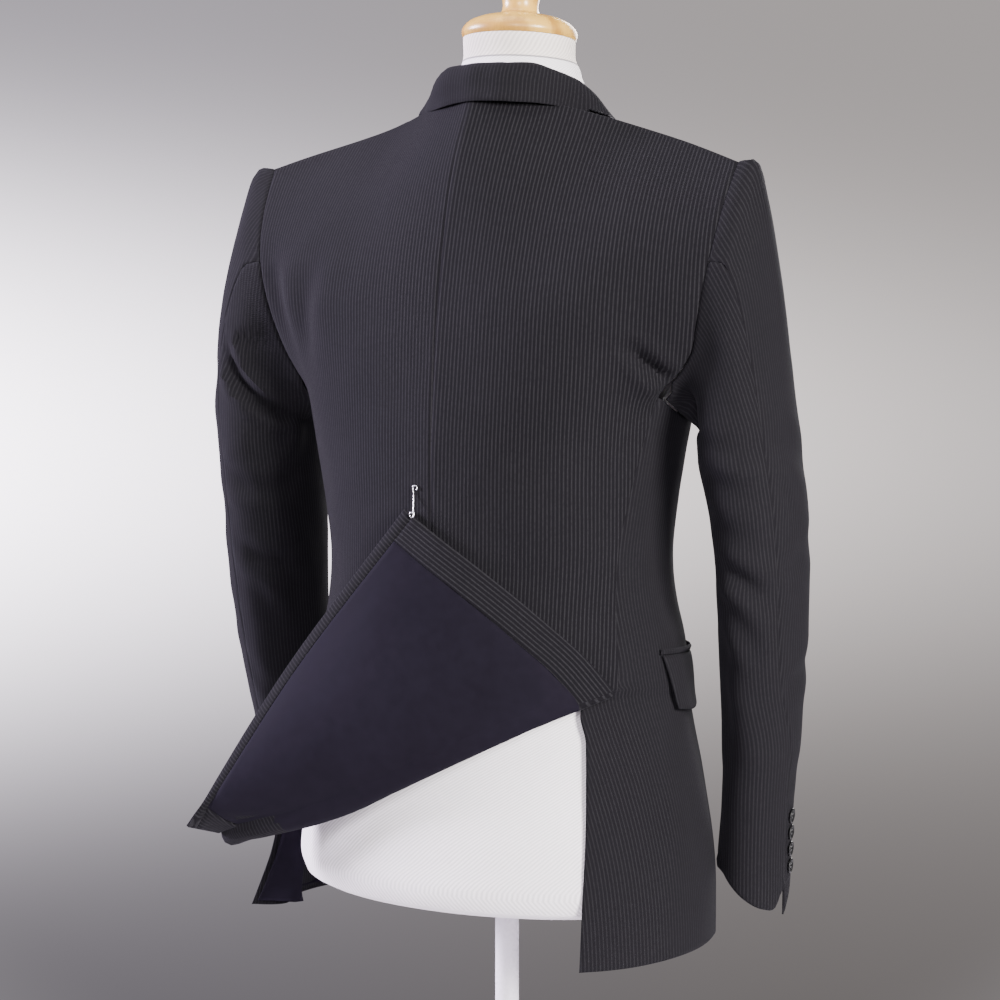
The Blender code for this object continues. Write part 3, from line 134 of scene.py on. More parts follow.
# Each cloth node: how many points its solid has along a row, whether its outer side
# faces away from the pole or from its own middle, the way its rows climb and its points
# run, the share of the row where the stripes run true, and its flat cut: the width and
# length of the cloth, and the share of that rectangle that the cut fills.
Piece = namedtuple("Piece", "node columns faces up across true width length share")
BODY = [
    Piece("back_left", 11, "pole", UP, LEFT, 0.0, 0.250, 0.650, 0.79),
    Piece("back_right", 11, "pole", UP, RIGHT, 0.0, 0.250, 0.600, 0.75),
    Piece("side_left", 8, "pole", UP, FRONT, 1.0, 0.140, 0.520, 0.80),
    Piece("side_right", 8, "pole", UP, FRONT, 1.0, 0.185, 0.520, 0.73),
    Piece("front_left", 9, "pole", UP, RIGHT, 0.35, 0.225, 0.840, 0.76),
    Piece("front_right", 9, "pole", UP, LEFT, 0.35, 0.225, 0.840, 0.73),
]
COLLARS = [
    Piece("lapel_left", 5, "pole", UP, LEFT, 1.0, 0.096, 0.400, 0.62),
    Piece("lapel_right", 5, "pole", UP, RIGHT, 1.0, 0.096, 0.355, 0.66),
    Piece("collar", 27, "pole", UP, LEFT, 0.5, 0.385, 0.070, 0.75),
]
SLEEVES = [
    Piece("upper_sleeve_left", 10, "self", DOWN, BACK, 0.66, 0.220, 0.665, 0.70),
    Piece("upper_sleeve_right", 10, "self", DOWN, BACK, 0.66, 0.205, 0.665, 0.67),
    Piece("under_sleeve_left", 9, "self", DOWN, FRONT, 0.4, 0.160, 0.570, 0.71),
    Piece("under_sleeve_right", 9, "self", DOWN, FRONT, 0.3, 0.150, 0.580, 0.69),
]
POCKETS = [
    Piece("pocket_flap_left", 9, "pole", UP, FRONT, 0.5, 0.172, 0.052, 0.95),
    Piece("pocket_flap_right", 9, "pole", UP, FRONT, 0.5, 0.172, 0.052, 0.95),
    Piece("breast_welt", 6, "pole", UP, RIGHT, 0.5, 0.065, 0.022, 0.90),
    Piece("pocket_jet_left", 9, "pole", UP, FRONT, 0.5, 0.172, 0.010, 0.60),
    Piece("pocket_jet_right", 9, "pole", UP, FRONT, 0.5, 0.172, 0.010, 0.60),
]
SKIRT = Piece("back_skirt_turned", 15, "pole", UP, RIGHT, 0.0, 0.425, 0.260, 0.58)
FACINGS = [
    Piece("vent_facing_left", 2, "pole", UP, RIGHT, 0.0, 0.033, 0.033, 0.82),
    Piece("vent_facing_right", 3, "pole", UP, RIGHT, 1.0, 0.033, 0.235, 0.83),
    Piece("hem_facing", 15, "pole", UP, RIGHT, 0.5, 0.357, 0.012, 0.86),
]
LININGS = [
    Piece("back_skirt_lining", 12, "pole", UP, RIGHT, 0.5, 0.360, 0.220, 0.53),
    Piece("side_lining_left", 8, "pole", UP, FRONT, 0.5, 0.126, 0.193, 0.77),
]

MM = 0.001

# Where each crease runs, its half-width and its depth, in millimetres, and how far the
# cloth bulges beside it as a share of that depth. A negative depth is a raised fold.
# Where held is off, the crease also moves the piece's edges.
Crease = namedtuple("Crease", "start middle end width depth bulge held", defaults=(True,))
CREASES = {
    "back_right": [
        Crease((-164, 85, 1252), (-179, 65.5, 1234), (-196, 40, 1208), 6.2, 9.8, 0.6),
        Crease((-168, 74, 1225), (-176, 62, 1212), (-184, 48, 1198), 10, -5, 0.2),
        Crease((-198, 48, 1205), (-179, 60, 1190), (-158, 74, 1150), 12, 2.2, 0.8),
        Crease((-208, 64, 1320), (-198, 70, 1280), (-188, 72, 1250), 18, -3, 0.2),
        Crease((-25, 118, 1130), (-70, 112, 1060), (-120, 98, 998), 20, 1.4, 0.7),
        Crease((-155, 70, 1030), (-135, 86, 1070), (-110, 100, 1120), 22, -1.6, 0.5),
    ],
    "back_left": [
        Crease((212, 62, 1330), (198, 72, 1280), (185, 76, 1210), 12, 4.2, 0.8),
        Crease((150, 106, 1345), (162, 96, 1290), (168, 86, 1225), 16, 4.8, 0.6),
        Crease((195, 60, 1220), (175, 76, 1175), (150, 88, 1120), 15, 2, 0.7),
        Crease((30, 120, 1080), (85, 112, 1010), (150, 90, 940), 18, 1.8, 0.7),
    ],
    "side_right": [
        Crease((-179, 57, 925), (-184.9, 58.7, 865.3), (-189, 60.6, 810), 9, 1.6, 0.5),
        Crease((-178, 30, 1130), (-170, 20, 1070), (-174, 10, 1020), 14, 1.8, 0.6),
        Crease((-195, 20, 900), (-200, 10, 830), (-202, 0, 770), 16, 1.6, 0.6),
    ],
    "side_left": [
        Crease((190, 20, 1150), (180, 10, 1090), (180, 0, 1030), 14, 1.8, 0.6),
        Crease((195, -10, 930), (205, -10, 860), (215, -10, 780), 15, 1.8, 0.6),
    ],
    "front_left": [
        Crease((30, -116, 1070), (85, -108, 1095), (145, -80, 1130), 12, 2.6, 0.7),
        Crease((35, -115, 1045), (90, -106, 1030), (150, -76, 1015), 13, 2.2, 0.7),
        Crease((195, -60, 1235), (170, -90, 1230), (135, -110, 1245), 12, 3.4, 0.7),
        Crease((100, -115, 920), (115, -118, 850), (125, -120, 770), 18, 1.8, 0.6),
        Crease((205, -45, 1340), (190, -70, 1310), (170, -88, 1295), 14, 2.4, 0.6),
    ],
    "front_right": [
        Crease((-20, -112, 1075), (-80, -106, 1090), (-140, -80, 1120), 13, 2.4, 0.7),
        Crease((-25, -112, 1035), (-90, -104, 1020), (-148, -74, 1000), 12, 2, 0.7),
        Crease((-190, -60, 1230), (-165, -92, 1220), (-130, -112, 1230), 12, 3.2, 0.7),
        Crease((-105, -113, 900), (-115, -117, 840), (-120, -118, 780), 17, 1.6, 0.6),
        Crease((-200, -48, 1330), (-188, -72, 1305), (-165, -90, 1280), 14, 2.4, 0.6),
    ],
    "upper_sleeve_right": [
        Crease((-277, 24, 1140), (-281.5, 15, 1124), (-283.2, 3, 1105), 4, 1.8, 0.6),
        Crease((-270, 40, 1180), (-285, 0, 1165), (-280, -35, 1150), 12, 2.2, 0.7),
        Crease((-270, 35, 1055), (-285, 0, 1070), (-276, -45, 1090), 11, 2.6, 0.7),
        Crease((-260, 20, 950), (-272, -30, 965), (-260, -75, 990), 11, 2.2, 0.7),
        Crease((-250, -2, 890), (-256, -40, 875), (-250, -78, 880), 10, 1.4, 0.6),
    ],
    "under_sleeve_right": [
        Crease((-185, 38, 1220), (-195, 40, 1198), (-198, 36, 1170), 15, 20, 0),
        Crease((-210, 50, 1176), (-247.7, 57, 1165.4), (-275, 40, 1173), 9, 3.6, 0.9),
        Crease((-215, 40, 1150), (-235, 54, 1140), (-262, 45, 1125), 10, 2.4, 0.8),
        Crease((-230, 40, 1064), (-248, 39, 1055), (-270, 25, 1038), 8.5, 6.2, 1),
        Crease((-232, 33, 1028), (-250, 31, 1005), (-262, 18, 976), 9, 4.4, 0.9),
        Crease((-213, 30, 1015), (-208, 8, 940), (-205, -8, 870), 15, 8.5, 0.5),
        Crease((-220, 38, 1105), (-242, 44, 1095), (-268, 35, 1090), 11, 2.2, 0.8),
        Crease((-215, 15, 990), (-235, 25, 970), (-255, 12, 950), 12, 2.2, 0.8),
        Crease((-208, 0, 930), (-220, 5, 900), (-235, -5, 870), 12, 1.8, 0.7),
    ],
    "upper_sleeve_left": [
        Crease((285, 55, 1240), (302, 20, 1200), (300, -20, 1190), 12, 2.8, 0.7),
        Crease((295, 35, 1100), (305, 0, 1080), (300, -35, 1085), 12, 2.6, 0.7),
        Crease((295, 10, 1000), (305, -25, 985), (298, -60, 990), 11, 2.2, 0.7),
        Crease((285, -25, 900), (298, -50, 890), (292, -80, 895), 10, 1.6, 0.7),
    ],
    "under_sleeve_left": [
        Crease((272, 60, 1256), (242, 59, 1204.5), (200, 30, 1180), 6.2, 10, 0.9),
        Crease((260, 61.5, 1261.5), (244, 60, 1256), (225, 54, 1254), 6, 4, 0.8),
        Crease((224, 45, 1186), (213, 30, 1164), (232, 48, 1130), 11, -6, 0.3),
        Crease((270, 60, 1130), (245, 48, 1118), (220, 30, 1125), 9, 5, 0.8),
        Crease((235, 38, 1105), (226, 24, 1070), (230, 12, 1025), 16, -6.5, 0.1),
        Crease((265, 45, 1062), (245, 34, 1048), (225, 15, 1050), 9, 5, 0.8),
        Crease((245, 33, 1035), (234, 23, 1012), (230, 13, 985), 10, -5, 0.3),
        Crease((285, 10, 940), (265, 10, 920), (240, -5, 910), 10, 2.4, 0.7),
    ],
    "collar": [
        Crease((80, 22, 1462), (52, 51, 1463), (14, 67, 1464), 9.5, 6.6, 0, False),
        Crease((-64, 36, 1461.5), (-93.2, 1.6, 1459), (-108, -26, 1443), 10, 6.4, 0, False),
        Crease((0, 69, 1467), (-25, 65.5, 1465.5), (-56, 49, 1463), 7, -1.8, 0, False),
        Crease((-25, 47, 1497), (-55, 30, 1490), (-85, 0, 1472), 16, -4.6, 0, False),
        Crease((66, 18, 1473), (54.5, 25.5, 1488), (43, 38, 1493), 14, 3.6, 0, False),
    ],
    "pocket_flap_right": [
        Crease((-174, 70, 960), (-187, 5, 960), (-164, -70, 960), 50, 1.8, 0, False),
    ],
    "pocket_flap_left": [
        Crease((174, 70, 960), (187, 5, 960), (164, -70, 960), 50, 1.6, 0, False),
    ],
    "back_skirt_turned": [
        Crease((200, 178, 842), (181, 165, 830), (150, 165, 827), 6, 2.2, 0.4),
    ],
    "back_skirt_lining": [
        Crease((202, 178, 844), (181, 164.5, 833), (135, 166, 833), 7.5, 5, 0.4),
        Crease((50, 133, 1050), (90, 150, 960), (150, 175, 870), 20, 1.4, 0.5),
        Crease((-20, 130, 1010), (30, 150, 930), (110, 175, 850), 18, 1.2, 0.5),
        Crease((90, 138, 1000), (140, 160, 920), (185, 180, 870), 15, 1.2, 0.5),
    ],
    "side_lining_left": [
        Crease((195, 50, 870), (205, 40, 800), (215, 38, 750), 8, 1, 0.5),
    ],
}
# Where a piece's stripes leave the line of its own panel: at each height, what is added
# to the way that they run. Above GRAIN_TOP a sleeve's stripes keep the way that they
# have there, up over its head.
GRAIN_TOP = 1.17
GRAIN = {
    "upper_sleeve_right": ((1.15, (0, 0, 0)), (1.24, (-0.40, -0.24, 0))),
    "under_sleeve_right": ((1.15, (0, 0, 0)), (1.24, (-0.32, -0.16, 0))),
    "upper_sleeve_left": ((1.15, (0, 0, 0)), (1.24, (0.12, -0.06, 0))),
    "under_sleeve_left": ((1.15, (0, 0, 0)), (1.24, (0.12, -0.06, 0))),
    "side_right": (
        (0.72, (0, 0, 0)),
        (0.80, (0, 0.08, 0)),
        (0.92, (0, 0.25, 0)),
        (1.01, (0, 0, 0)),
    ),
    "side_left": (
        (0.72, (0, 0, 0)),
        (0.80, (0, 0.06, 0)),
        (0.92, (0, 0.20, 0)),
        (1.01, (0, 0, 0)),
    ),
}
# How much closer the stripes lie on the pieces that are eased on.
EASED_STRIPES = {
    "collar": 1.12,
    "upper_sleeve_left": 1.09,
    "upper_sleeve_right": 1.09,
    "under_sleeve_left": 1.09,
    "under_sleeve_right": 1.09,
    "side_right": 1.05,
    "side_left": 1.05,
}
# The distance between the points at which the stripes' run is worked out, and the pull
# that holds one of them at the middle of a stripe's gap.
GRAIN_SPACING = 0.011
FIT_ANCHOR = 1000.0
# How a crease fades towards its ends, and where and how high the cloth bulges beside it,
# as shares of the crease's half-width and of its depth.
CREASE_END = 0.04
CREASE_FADE = 0.6
BULGE_AT = 1.9
BULGE_SHARE = 0.6
# The widths of the self-cloth that shows on the turned skirt, at its vent's edge and at
# the far corner of its fold.
FACED_EDGE = 0.0296
FACED_CORNER = 0.085
# How far the lining's lower edge is drawn in, and over what height.
LINING_SINK = 0.0022
LINING_TURN = 0.016
# Edges nearer than SEAM_REACH are sewn together, and the cloth is moved over SEAM_EASE.
# Creases and ripples keep SEAM_SHARE of their depth at an edge, and all of it from
# SEAM_HOLD in.
SEAM_REACH = 0.0065
SEAM_EASE = 0.016
SEAM_HOLD = 0.009
SEAM_SHARE = 0.12
# How the cloth turns over at its edges, and the rows of points that carry the turn.
EDGE_ROLL = 0.0026
EDGE_SINK = 0.0010
EDGE_STEPS = (0.0007, 0.0016, 0.0030)
# The slight unevenness of worn cloth: its height and the size of its waves.
RIPPLE = 0.0007
RIPPLE_SIZE = 0.055
# Points of a node nearer than this are one, and a rim edge is a wall's thickness long to
# within this share.
MERGED = 2e-6
RIM_TOLERANCE = 0.04
# The cloth's shell takes this share of its solid's wall, so it stays inside it.
SHELL_SHARE = 0.96


# ------------------------------------------------------------- grids of points


def table_curve(knots, values, at):
    """A smooth curve through values at knots, along their first axis."""
    slopes = np.gradient(values, knots, axis=0)
    i = np.clip(np.searchsorted(knots, at) - 1, 0, len(knots) - 2)
    tail = (1,) * (values.ndim - 1)
    span = (knots[i + 1] - knots[i]).reshape(-1, *tail)
    t = ((at - knots[i]) / (knots[i + 1] - knots[i])).reshape(-1, *tail)
    return (
        (2 * t**3 - 3 * t**2 + 1) * values[i]
        + (t**3 - 2 * t**2 + t) * slopes[i] * span
        + (3 * t**2 - 2 * t**3) * values[i + 1]
        + (t**3 - t**2) * slopes[i + 1] * span
    )


def soft_step(value, start, end):
    t = np.clip((value - start) / (end - start), 0, 1)
    return t * t * (3 - 2 * t)


def step_lengths(grid, axis):
    """The mean length run along one axis of a grid, from 0."""
    steps = np.linalg.norm(np.diff(grid, axis=axis), axis=2).mean(axis=1 - axis)
    return np.concatenate([[0.0], np.cumsum(steps)])


def runs(grid, axis):
    """The length run along one axis at each point of a grid."""
    steps = np.linalg.norm(np.diff(grid, axis=axis), axis=2)
    start = np.zeros_like(steps[:1] if axis == 0 else steps[:, :1])
    return np.concatenate([start, np.cumsum(steps, axis=axis)], axis=axis)


def grid_normals(grid):
    normal = np.cross(np.gradient(grid, axis=1), np.gradient(grid, axis=0))
    return normal / np.linalg.norm(normal, axis=-1, keepdims=True)


def samples(length, spacing):
    """Evenly spaced stops along a length, with close ones at its ends."""
    steps = np.array([step for step in EDGE_STEPS if step < length / 4])
    count = max(2, round(length / spacing))
    middle = np.linspace(0, length, count + 1)[1:-1]
    if len(steps):
        middle = middle[(middle > steps[-1] * 1.4) & (middle < length - steps[-1] * 1.4)]
    return np.concatenate([[0.0], steps, middle, length - steps[::-1], [length]])


# ---------------------------------------------- reading a solid's wall as a grid


def node_bmesh(node):
    """A node's mesh with its points each once, in a bmesh of its own."""
    bm = bmesh.new()
    bm.from_mesh(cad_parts[node].data)
    bmesh.ops.remove_doubles(bm, verts=bm.verts[:], dist=MERGED)
    return bm


def wall_sheet(node, faces, wall):
    """The triangles of the outer sheet of a node's wall. Each rim triangle has one edge
    that spans the wall."""
    bm = node_bmesh(node)
    rim = [
        face
        for face in bm.faces
        if any(abs(edge.calc_length() - wall) < RIM_TOLERANCE * wall for edge in face.edges)
    ]
    bmesh.ops.delete(bm, geom=rim, context="FACES_ONLY")
    middle = sum((vert.co for vert in bm.verts), Vector()) / len(bm.verts)
    best, best_score = None, None
    left = set(bm.faces)
    while left:
        group, open_faces = set(), [left.pop()]
        while open_faces:
            face = open_faces.pop()
            group.add(face)
            for edge in face.edges:
                for other in edge.link_faces:
                    if other in left:
                        left.discard(other)
                        open_faces.append(other)
        score = 0.0
        for face in group:
            spot = face.calc_center_median()
            away = spot - middle if faces == "self" else Vector((spot.x, spot.y, 0))
            score += face.normal.dot(away) * face.calc_area()
        if best is None or score > best_score:
            best, best_score = group, score
    spare = [face for face in bm.faces if face not in best]
    bmesh.ops.delete(bm, geom=spare, context="FACES")
    loose = [edge for edge in bm.edges if not edge.link_faces]
    bmesh.ops.delete(bm, geom=loose, context="EDGES")
    return bm


def outline(bm):
    """The sheet's edge as one loop of vertices."""
    links = {}
    for edge in bm.edges:
        if edge.is_boundary:
            a, b = edge.verts
            links.setdefault(a, []).append(b)
            links.setdefault(b, []).append(a)
    start = next(iter(links))
    loop, last = [start], None
    while True:
        ahead = next(vert for vert in links[loop[-1]] if vert is not last)
        if ahead is start and len(loop) > 2:
            return loop
        last = loop[-1]
        loop.append(ahead)


def corner_orders(loop, columns, rows):
    """The loop started at each of its points, those with the sharpest corners first."""
    points = np.array([vert.co for vert in loop])
    ahead = np.roll(points, -1, axis=0) - points
    ahead /= np.linalg.norm(ahead, axis=1, keepdims=True)
    turning = 1 - np.sum(ahead * np.roll(ahead, 1, axis=0), axis=1)
    corners = np.array([0, columns - 1, columns + rows - 2, 2 * columns + rows - 3])
    scores = [-turning[(corners + k) % len(loop)].sum() for k in range(len(loop))]
    for first in np.argsort(scores):
        yield loop[first:] + loop[:first]


def face_beyond(a, b, used):
    """The next unused triangle on the edge from a to b, and its third corner."""
    for edge in a.link_edges:
        if edge.other_vert(a) is b:
            for face in edge.link_faces:
                if face not in used:
                    used.add(face)
                    return next(vert for vert in face.verts if vert is not a and vert is not b)
    return None


def climbed(loop, columns, rows):
    """The rows of a grid whose first row and left side are on the loop, climbed a cell at
    a time. Nothing where the loop starts at the wrong corner."""
    row = loop[:columns]
    grid, used = [row], set()
    for start in loop[: -rows : -1]:
        above = [start]
        for a, b in zip(row, row[1:]):
            corner = face_beyond(a, b, used)
            if corner is above[-1]:
                corner = face_beyond(b, corner, used)
            elif corner is not None:
                if face_beyond(a, corner, used) is not above[-1]:
                    return None
            if corner is None:
                return None
            above.append(corner)
        grid.append(above)
        row = above
    return grid


def cad_grid(piece, wall):
    """The rows of points of a cloth solid's outer sheet, and the way it faces."""
    bm = wall_sheet(piece.node, piece.faces, wall)
    loop = outline(bm)
    rows = len(loop) // 2 - piece.columns + 2
    for turned in corner_orders(loop, piece.columns, rows):
        grid = climbed(turned, piece.columns, rows)
        if grid:
            break
    else:
        raise RuntimeError(f"{piece.node} isn't a grid of {piece.columns} columns")
    points = np.array([[vert.co for vert in row] for row in grid])
    outward = sum((face.normal * face.calc_area() for face in bm.faces), Vector())
    bm.free()
    if np.dot((points[-1] - points[0]).mean(axis=0), piece.up) < 0:
        points = points[::-1]
    if np.dot((points[:, -1] - points[:, 0]).mean(axis=0), piece.across) < 0:
        points = points[:, ::-1]
    flip = np.sign(np.sum(grid_normals(points) * np.array(outward)))
    return points, flip


# ------------------------------------------------------------- laying the cloth


def filled_in(up, across, values, tall, wide):
    """Values known at stops up and across a grid, given at other stops."""
    rows = table_curve(up, values, tall)
    return table_curve(across, rows.transpose(1, 0, 2), wide).transpose(1, 0, 2)


def eased(points, times=3):
    """The grid with slight ridges between its columns smoothed out."""
    for _ in range(times):
        inner = (points[:, :-2] + 2 * points[:, 1:-1] + points[:, 2:]) / 4
        points = np.concatenate([points[:, :1], inner, points[:, -1:]], axis=1)
    return points


def even_stops(length, spacing):
    return np.linspace(0, length, max(2, round(length / spacing)) + 1)


def crease_line(crease, count=33):
    t = np.linspace(0, 1, count)[:, None]
    start, middle, end = MM * np.array([crease.start, crease.middle, crease.end])
    pull = 2 * middle - 0.5 * (start + end)
    return (1 - t) ** 2 * start + 2 * t * (1 - t) * pull + t**2 * end


def crease_depth(grid, crease):
    """How far one crease moves each point along its normal: a soft trough that fades
    towards the crease's ends, with a bulge on either side."""
    line = crease_line(crease)
    apart = np.linalg.norm(grid[:, :, None] - line, axis=3)
    along = apart.argmin(axis=2) / (len(line) - 1)
    distance = apart.min(axis=2) / (MM * crease.width)
    fade = np.sin(pi * np.clip(along, CREASE_END, 1 - CREASE_END)) ** CREASE_FADE
    trough = np.exp(-(distance**2))
    bulge = crease.bulge * BULGE_SHARE * np.exp(-((distance - BULGE_AT) ** 2))
    return MM * crease.depth * fade * (bulge - trough)


def ripples(grid):
    """The slight unevenness of worn cloth: broad waves with finer ones on them."""
    flat = [Vector(point) for point in grid.reshape(-1, 3) / RIPPLE_SIZE]
    heights = [noise.noise(point) + 0.4 * noise.noise(2.3 * point) for point in flat]
    return RIPPLE * np.array(heights).reshape(grid.shape[:2])


def inside_edges(grid):
    """How far each point of a grid is from the nearest of its edges."""
    up, across = runs(grid, 0), runs(grid, 1)
    return np.minimum.reduce([up, up[-1:] - up, across, across[:, -1:] - across])


def creased(name, grid, normals):
    """The grid with its ripples and creases, drawn in where it turns over at its edges.
    Creases are held back where a piece is sewn to the next, so the seams stay shut."""
    settings = bpy.context.scene.cloth_settings
    inside = inside_edges(grid)
    hold = SEAM_SHARE + (1 - SEAM_SHARE) * soft_step(inside, 0.0, SEAM_HOLD)
    moved = ripples(grid) * hold
    for crease in CREASES.get(name, []):
        depth = settings.crease * crease_depth(grid, crease)
        moved = moved + (depth * hold if crease.held else depth)
    drawn_in = EDGE_SINK * (1 - soft_step(inside, 0.0, EDGE_ROLL))
    return grid + normals * (moved - drawn_in)[..., None]


def grain_way(piece, grid, normals):
    """The way the stripes run at each point of a grid, in the cloth's own surface."""
    column = round(piece.true * (grid.shape[1] - 1))
    way = np.gradient(grid[:, column], axis=0)
    way /= np.linalg.norm(way, axis=1, keepdims=True)
    if piece in SLEEVES:
        top = np.abs(grid[:, column, 2] - GRAIN_TOP).argmin()
        way[:top] = way[top : top + 4].mean(axis=0)
    if piece.node in GRAIN:
        heights, pulls = zip(*GRAIN[piece.node])
        height = grid[:, column, 2]
        pulled = [np.interp(height, heights, pull) for pull in zip(*pulls)]
        way = way + np.stack(pulled, axis=1)
    way = np.broadcast_to(way[:, None], grid.shape)
    way = way - normals * np.sum(way * normals, axis=2, keepdims=True)
    return way / np.linalg.norm(way, axis=2, keepdims=True)


def stripe_map(piece, grid):
    """Cloth coordinates in metres: across the stripes, and along them. The first is found
    as the nearest fit, over the whole piece, to stripes that keep their pitch."""
    normals = grid_normals(grid)
    sideways = np.cross(grain_way(piece, grid, normals), normals)
    if np.sum(sideways[:, :-1] * np.diff(grid, axis=1)) < 0:
        sideways = -sideways
    count = grid[..., 0].size
    index = np.arange(count).reshape(grid.shape[:2])
    first = np.concatenate([index[:-1].ravel(), index[:, :-1].ravel()])
    second = np.concatenate([index[1:].ravel(), index[:, 1:].ravel()])
    spots, sides = grid.reshape(-1, 3), sideways.reshape(-1, 3)
    step = spots[second] - spots[first]
    wanted = np.sum((sides[first] + sides[second]) / 2 * step, axis=1)
    weight = 1 / (np.linalg.norm(step, axis=1) + 1e-5)
    fit, pull = np.zeros((count, count)), np.zeros(count)
    for a, b, sign in ((first, second, -1), (second, first, 1)):
        np.add.at(fit, (a, a), weight)
        np.add.at(fit, (a, b), -weight)
        np.add.at(pull, a, sign * weight * wanted)
    column = round(piece.true * (grid.shape[1] - 1))
    fit[index[0, column], index[0, column]] += FIT_ANCHOR
    across = np.linalg.solve(fit, pull).reshape(grid.shape[:2])
    across = across * EASED_STRIPES.get(piece.node, 1.0)
    return np.stack([across, runs(grid, 0)], axis=-1)


def nearest_on(lines, points):
    """The nearest place to each point on a set of lines of points."""
    best = np.full(len(points), np.inf)
    place = points.copy()
    for line in lines:
        start, reach = line[:-1], np.diff(line, axis=0)
        long = np.sum(reach * reach, axis=1) + 1e-12
        t = np.clip(np.sum((points[:, None] - start) * reach, axis=2) / long, 0, 1)
        spots = start + t[..., None] * reach
        apart = np.linalg.norm(points[:, None] - spots, axis=2)
        k = apart.argmin(axis=1)
        row = np.arange(len(points))
        nearer = apart[row, k] < best
        best[nearer] = apart[row, k][nearer]
        place[nearer] = spots[row, k][nearer]
    return place, best


def sewn_up(grid, seams):
    """The grid with its edges brought to the pieces that they are sewn to."""
    for axis in (0, 1):
        for end in (0, -1):
            lines = grid if axis == 0 else grid.transpose(1, 0, 2)
            run = runs(lines, 0)
            run = run if end == 0 else run[-1:] - run
            place, apart = nearest_on(seams, lines[end])
            near = 1 - soft_step(apart, 0.8 * SEAM_REACH, SEAM_REACH)
            shift = (place - lines[end]) * near[:, None]
            ease = 1 - soft_step(run, 0.0, SEAM_EASE)
            lines = lines + shift[None] * ease[..., None]
            grid = lines if axis == 0 else lines.transpose(1, 0, 2)
    return grid


def sheet_mesh(name, grid, coordinates, flip):
    """A mesh of a grid of points with its cloth coordinates as UVs."""
    rows, columns = grid.shape[:2]
    bm = bmesh.new()
    bmesh.ops.create_grid(bm, x_segments=columns - 1, y_segments=rows - 1, size=1.0)
    if flip < 0:
        bmesh.ops.reverse_faces(bm, faces=bm.faces[:])
    mesh = mesh_of(bm, name)
    flat = np.empty(len(mesh.vertices) * 3)
    mesh.vertices.foreach_get("co", flat)
    spots = flat.reshape(-1, 3)
    i = np.rint((spots[:, 1] + 1) / 2 * (rows - 1)).astype(int)
    j = np.rint((spots[:, 0] + 1) / 2 * (columns - 1)).astype(int)
    mesh.vertices.foreach_set("co", grid[i, j].ravel())
    loops = np.empty(len(mesh.loops), dtype=int)
    mesh.loops.foreach_get("vertex_index", loops)
    uv = mesh.uv_layers.new(name="cloth")
    uv.data.foreach_set("uv", coordinates[i, j][loops].ravel())
    mesh.update()
    return mesh


def mesh_of(bm, name, *looks):
    """A bmesh made into a mesh with its looks, and freed."""
    mesh = bpy.data.meshes.new(name)
    bm.to_mesh(mesh)
    bm.free()
    for look in looks:
        mesh.materials.append(look)
    return mesh


def add_object(name, mesh):
    obj = bpy.data.objects.new(name, mesh)
    bpy.context.scene.collection.objects.link(obj)
    return obj


def soften(mesh, angle=50):
    mesh.shade_smooth()
    mesh.set_sharp_from_angle(angle=radians(angle))


def skirt_facing(grid):
    """The faces of the turned skirt that its own cloth shows on: down the vent's edge and
    at the far corner of its fold."""
    across = runs(grid, 1)
    from_edge = (across[:, -1:] - across)[:-1, 1:]
    return (from_edge < FACED_EDGE) | (across[:-1, 1:] < FACED_CORNER)


def cloth_surface(piece, wall, seams):
    """A piece's creased grid, its cloth coordinates, and the way it faces."""
    spacing = bpy.context.scene.cloth_settings.spacing
    points, flip = cad_grid(piece, wall)
    if piece in BODY:
        points = eased(points)
    up, across = step_lengths(points, 0), step_lengths(points, 1)
    tall, wide = even_stops(up[-1], GRAIN_SPACING), even_stops(across[-1], GRAIN_SPACING)
    coarse = stripe_map(piece, filled_in(up, across, points, tall, wide))
    rows, columns = samples(up[-1], spacing), samples(across[-1], spacing)
    grid = filled_in(up, across, points, rows, columns)
    normals = grid_normals(grid) * flip
    if seams is not None:
        grid = sewn_up(grid, seams)
        seams += [grid[0], grid[-1], grid[:, 0], grid[:, -1]]
    coordinates = filled_in(tall, wide, coarse, rows, columns)
    grid = creased(piece.node, grid, normals)
    if piece in LININGS:
        lower = 1 - soft_step(runs(grid, 0), 0.0, LINING_TURN)
        grid = grid - normals * (LINING_SINK * lower)[..., None]
    return grid, coordinates, flip


def lay_cloth(piece, outer, inner=None, lined=False, faced=None, seams=None):
    """One cloth piece over its solid: a creased sheet with its thickness turned in.

    faced takes the sheet's grid and gives the faces that have the inner cloth outside.
    seams holds the edges of the pieces sewn so far, and takes this one's.
    """
    settings = bpy.context.scene.cloth_settings
    wall = settings.facing if lined else settings.wall
    grid, coordinates, flip = cloth_surface(piece, wall, seams)
    mesh = sheet_mesh(piece.node + "_cloth", grid, coordinates, flip)
    inner = inner or outer
    # The sheet's faces have one of the first two looks, and the shell's inside has the
    # look two places on.
    for look in (outer, inner, inner, inner):
        mesh.materials.append(look)
    if faced:
        mesh.polygons.foreach_set("material_index", faced(grid).astype(int).ravel())
    soften(mesh)
    obj = add_object(piece.node + "_cloth", mesh)
    shell = obj.modifiers.new("thickness", "SOLIDIFY")
    shell.thickness = wall * SHELL_SHARE
    shell.offset = -1.0
    shell.material_offset = 2
    shell.material_offset_rim = 0
    dress(obj, piece.node)
    return obj


def dress(obj, *nodes):
    """obj stands for these nodes and moves with the object."""
    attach(obj, "root")
    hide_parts(*nodes)
    return obj


# ------------------------------------------------------------------- the trims


def node_points(node):
    """A node's own points, each once, with the points that each is joined to."""
    bm = node_bmesh(node)
    bm.verts.index_update()
    points = np.array([vert.co for vert in bm.verts])
    joined = [[edge.other_vert(vert).index for edge in vert.link_edges] for vert in bm.verts]
    bm.free()
    return points, joined


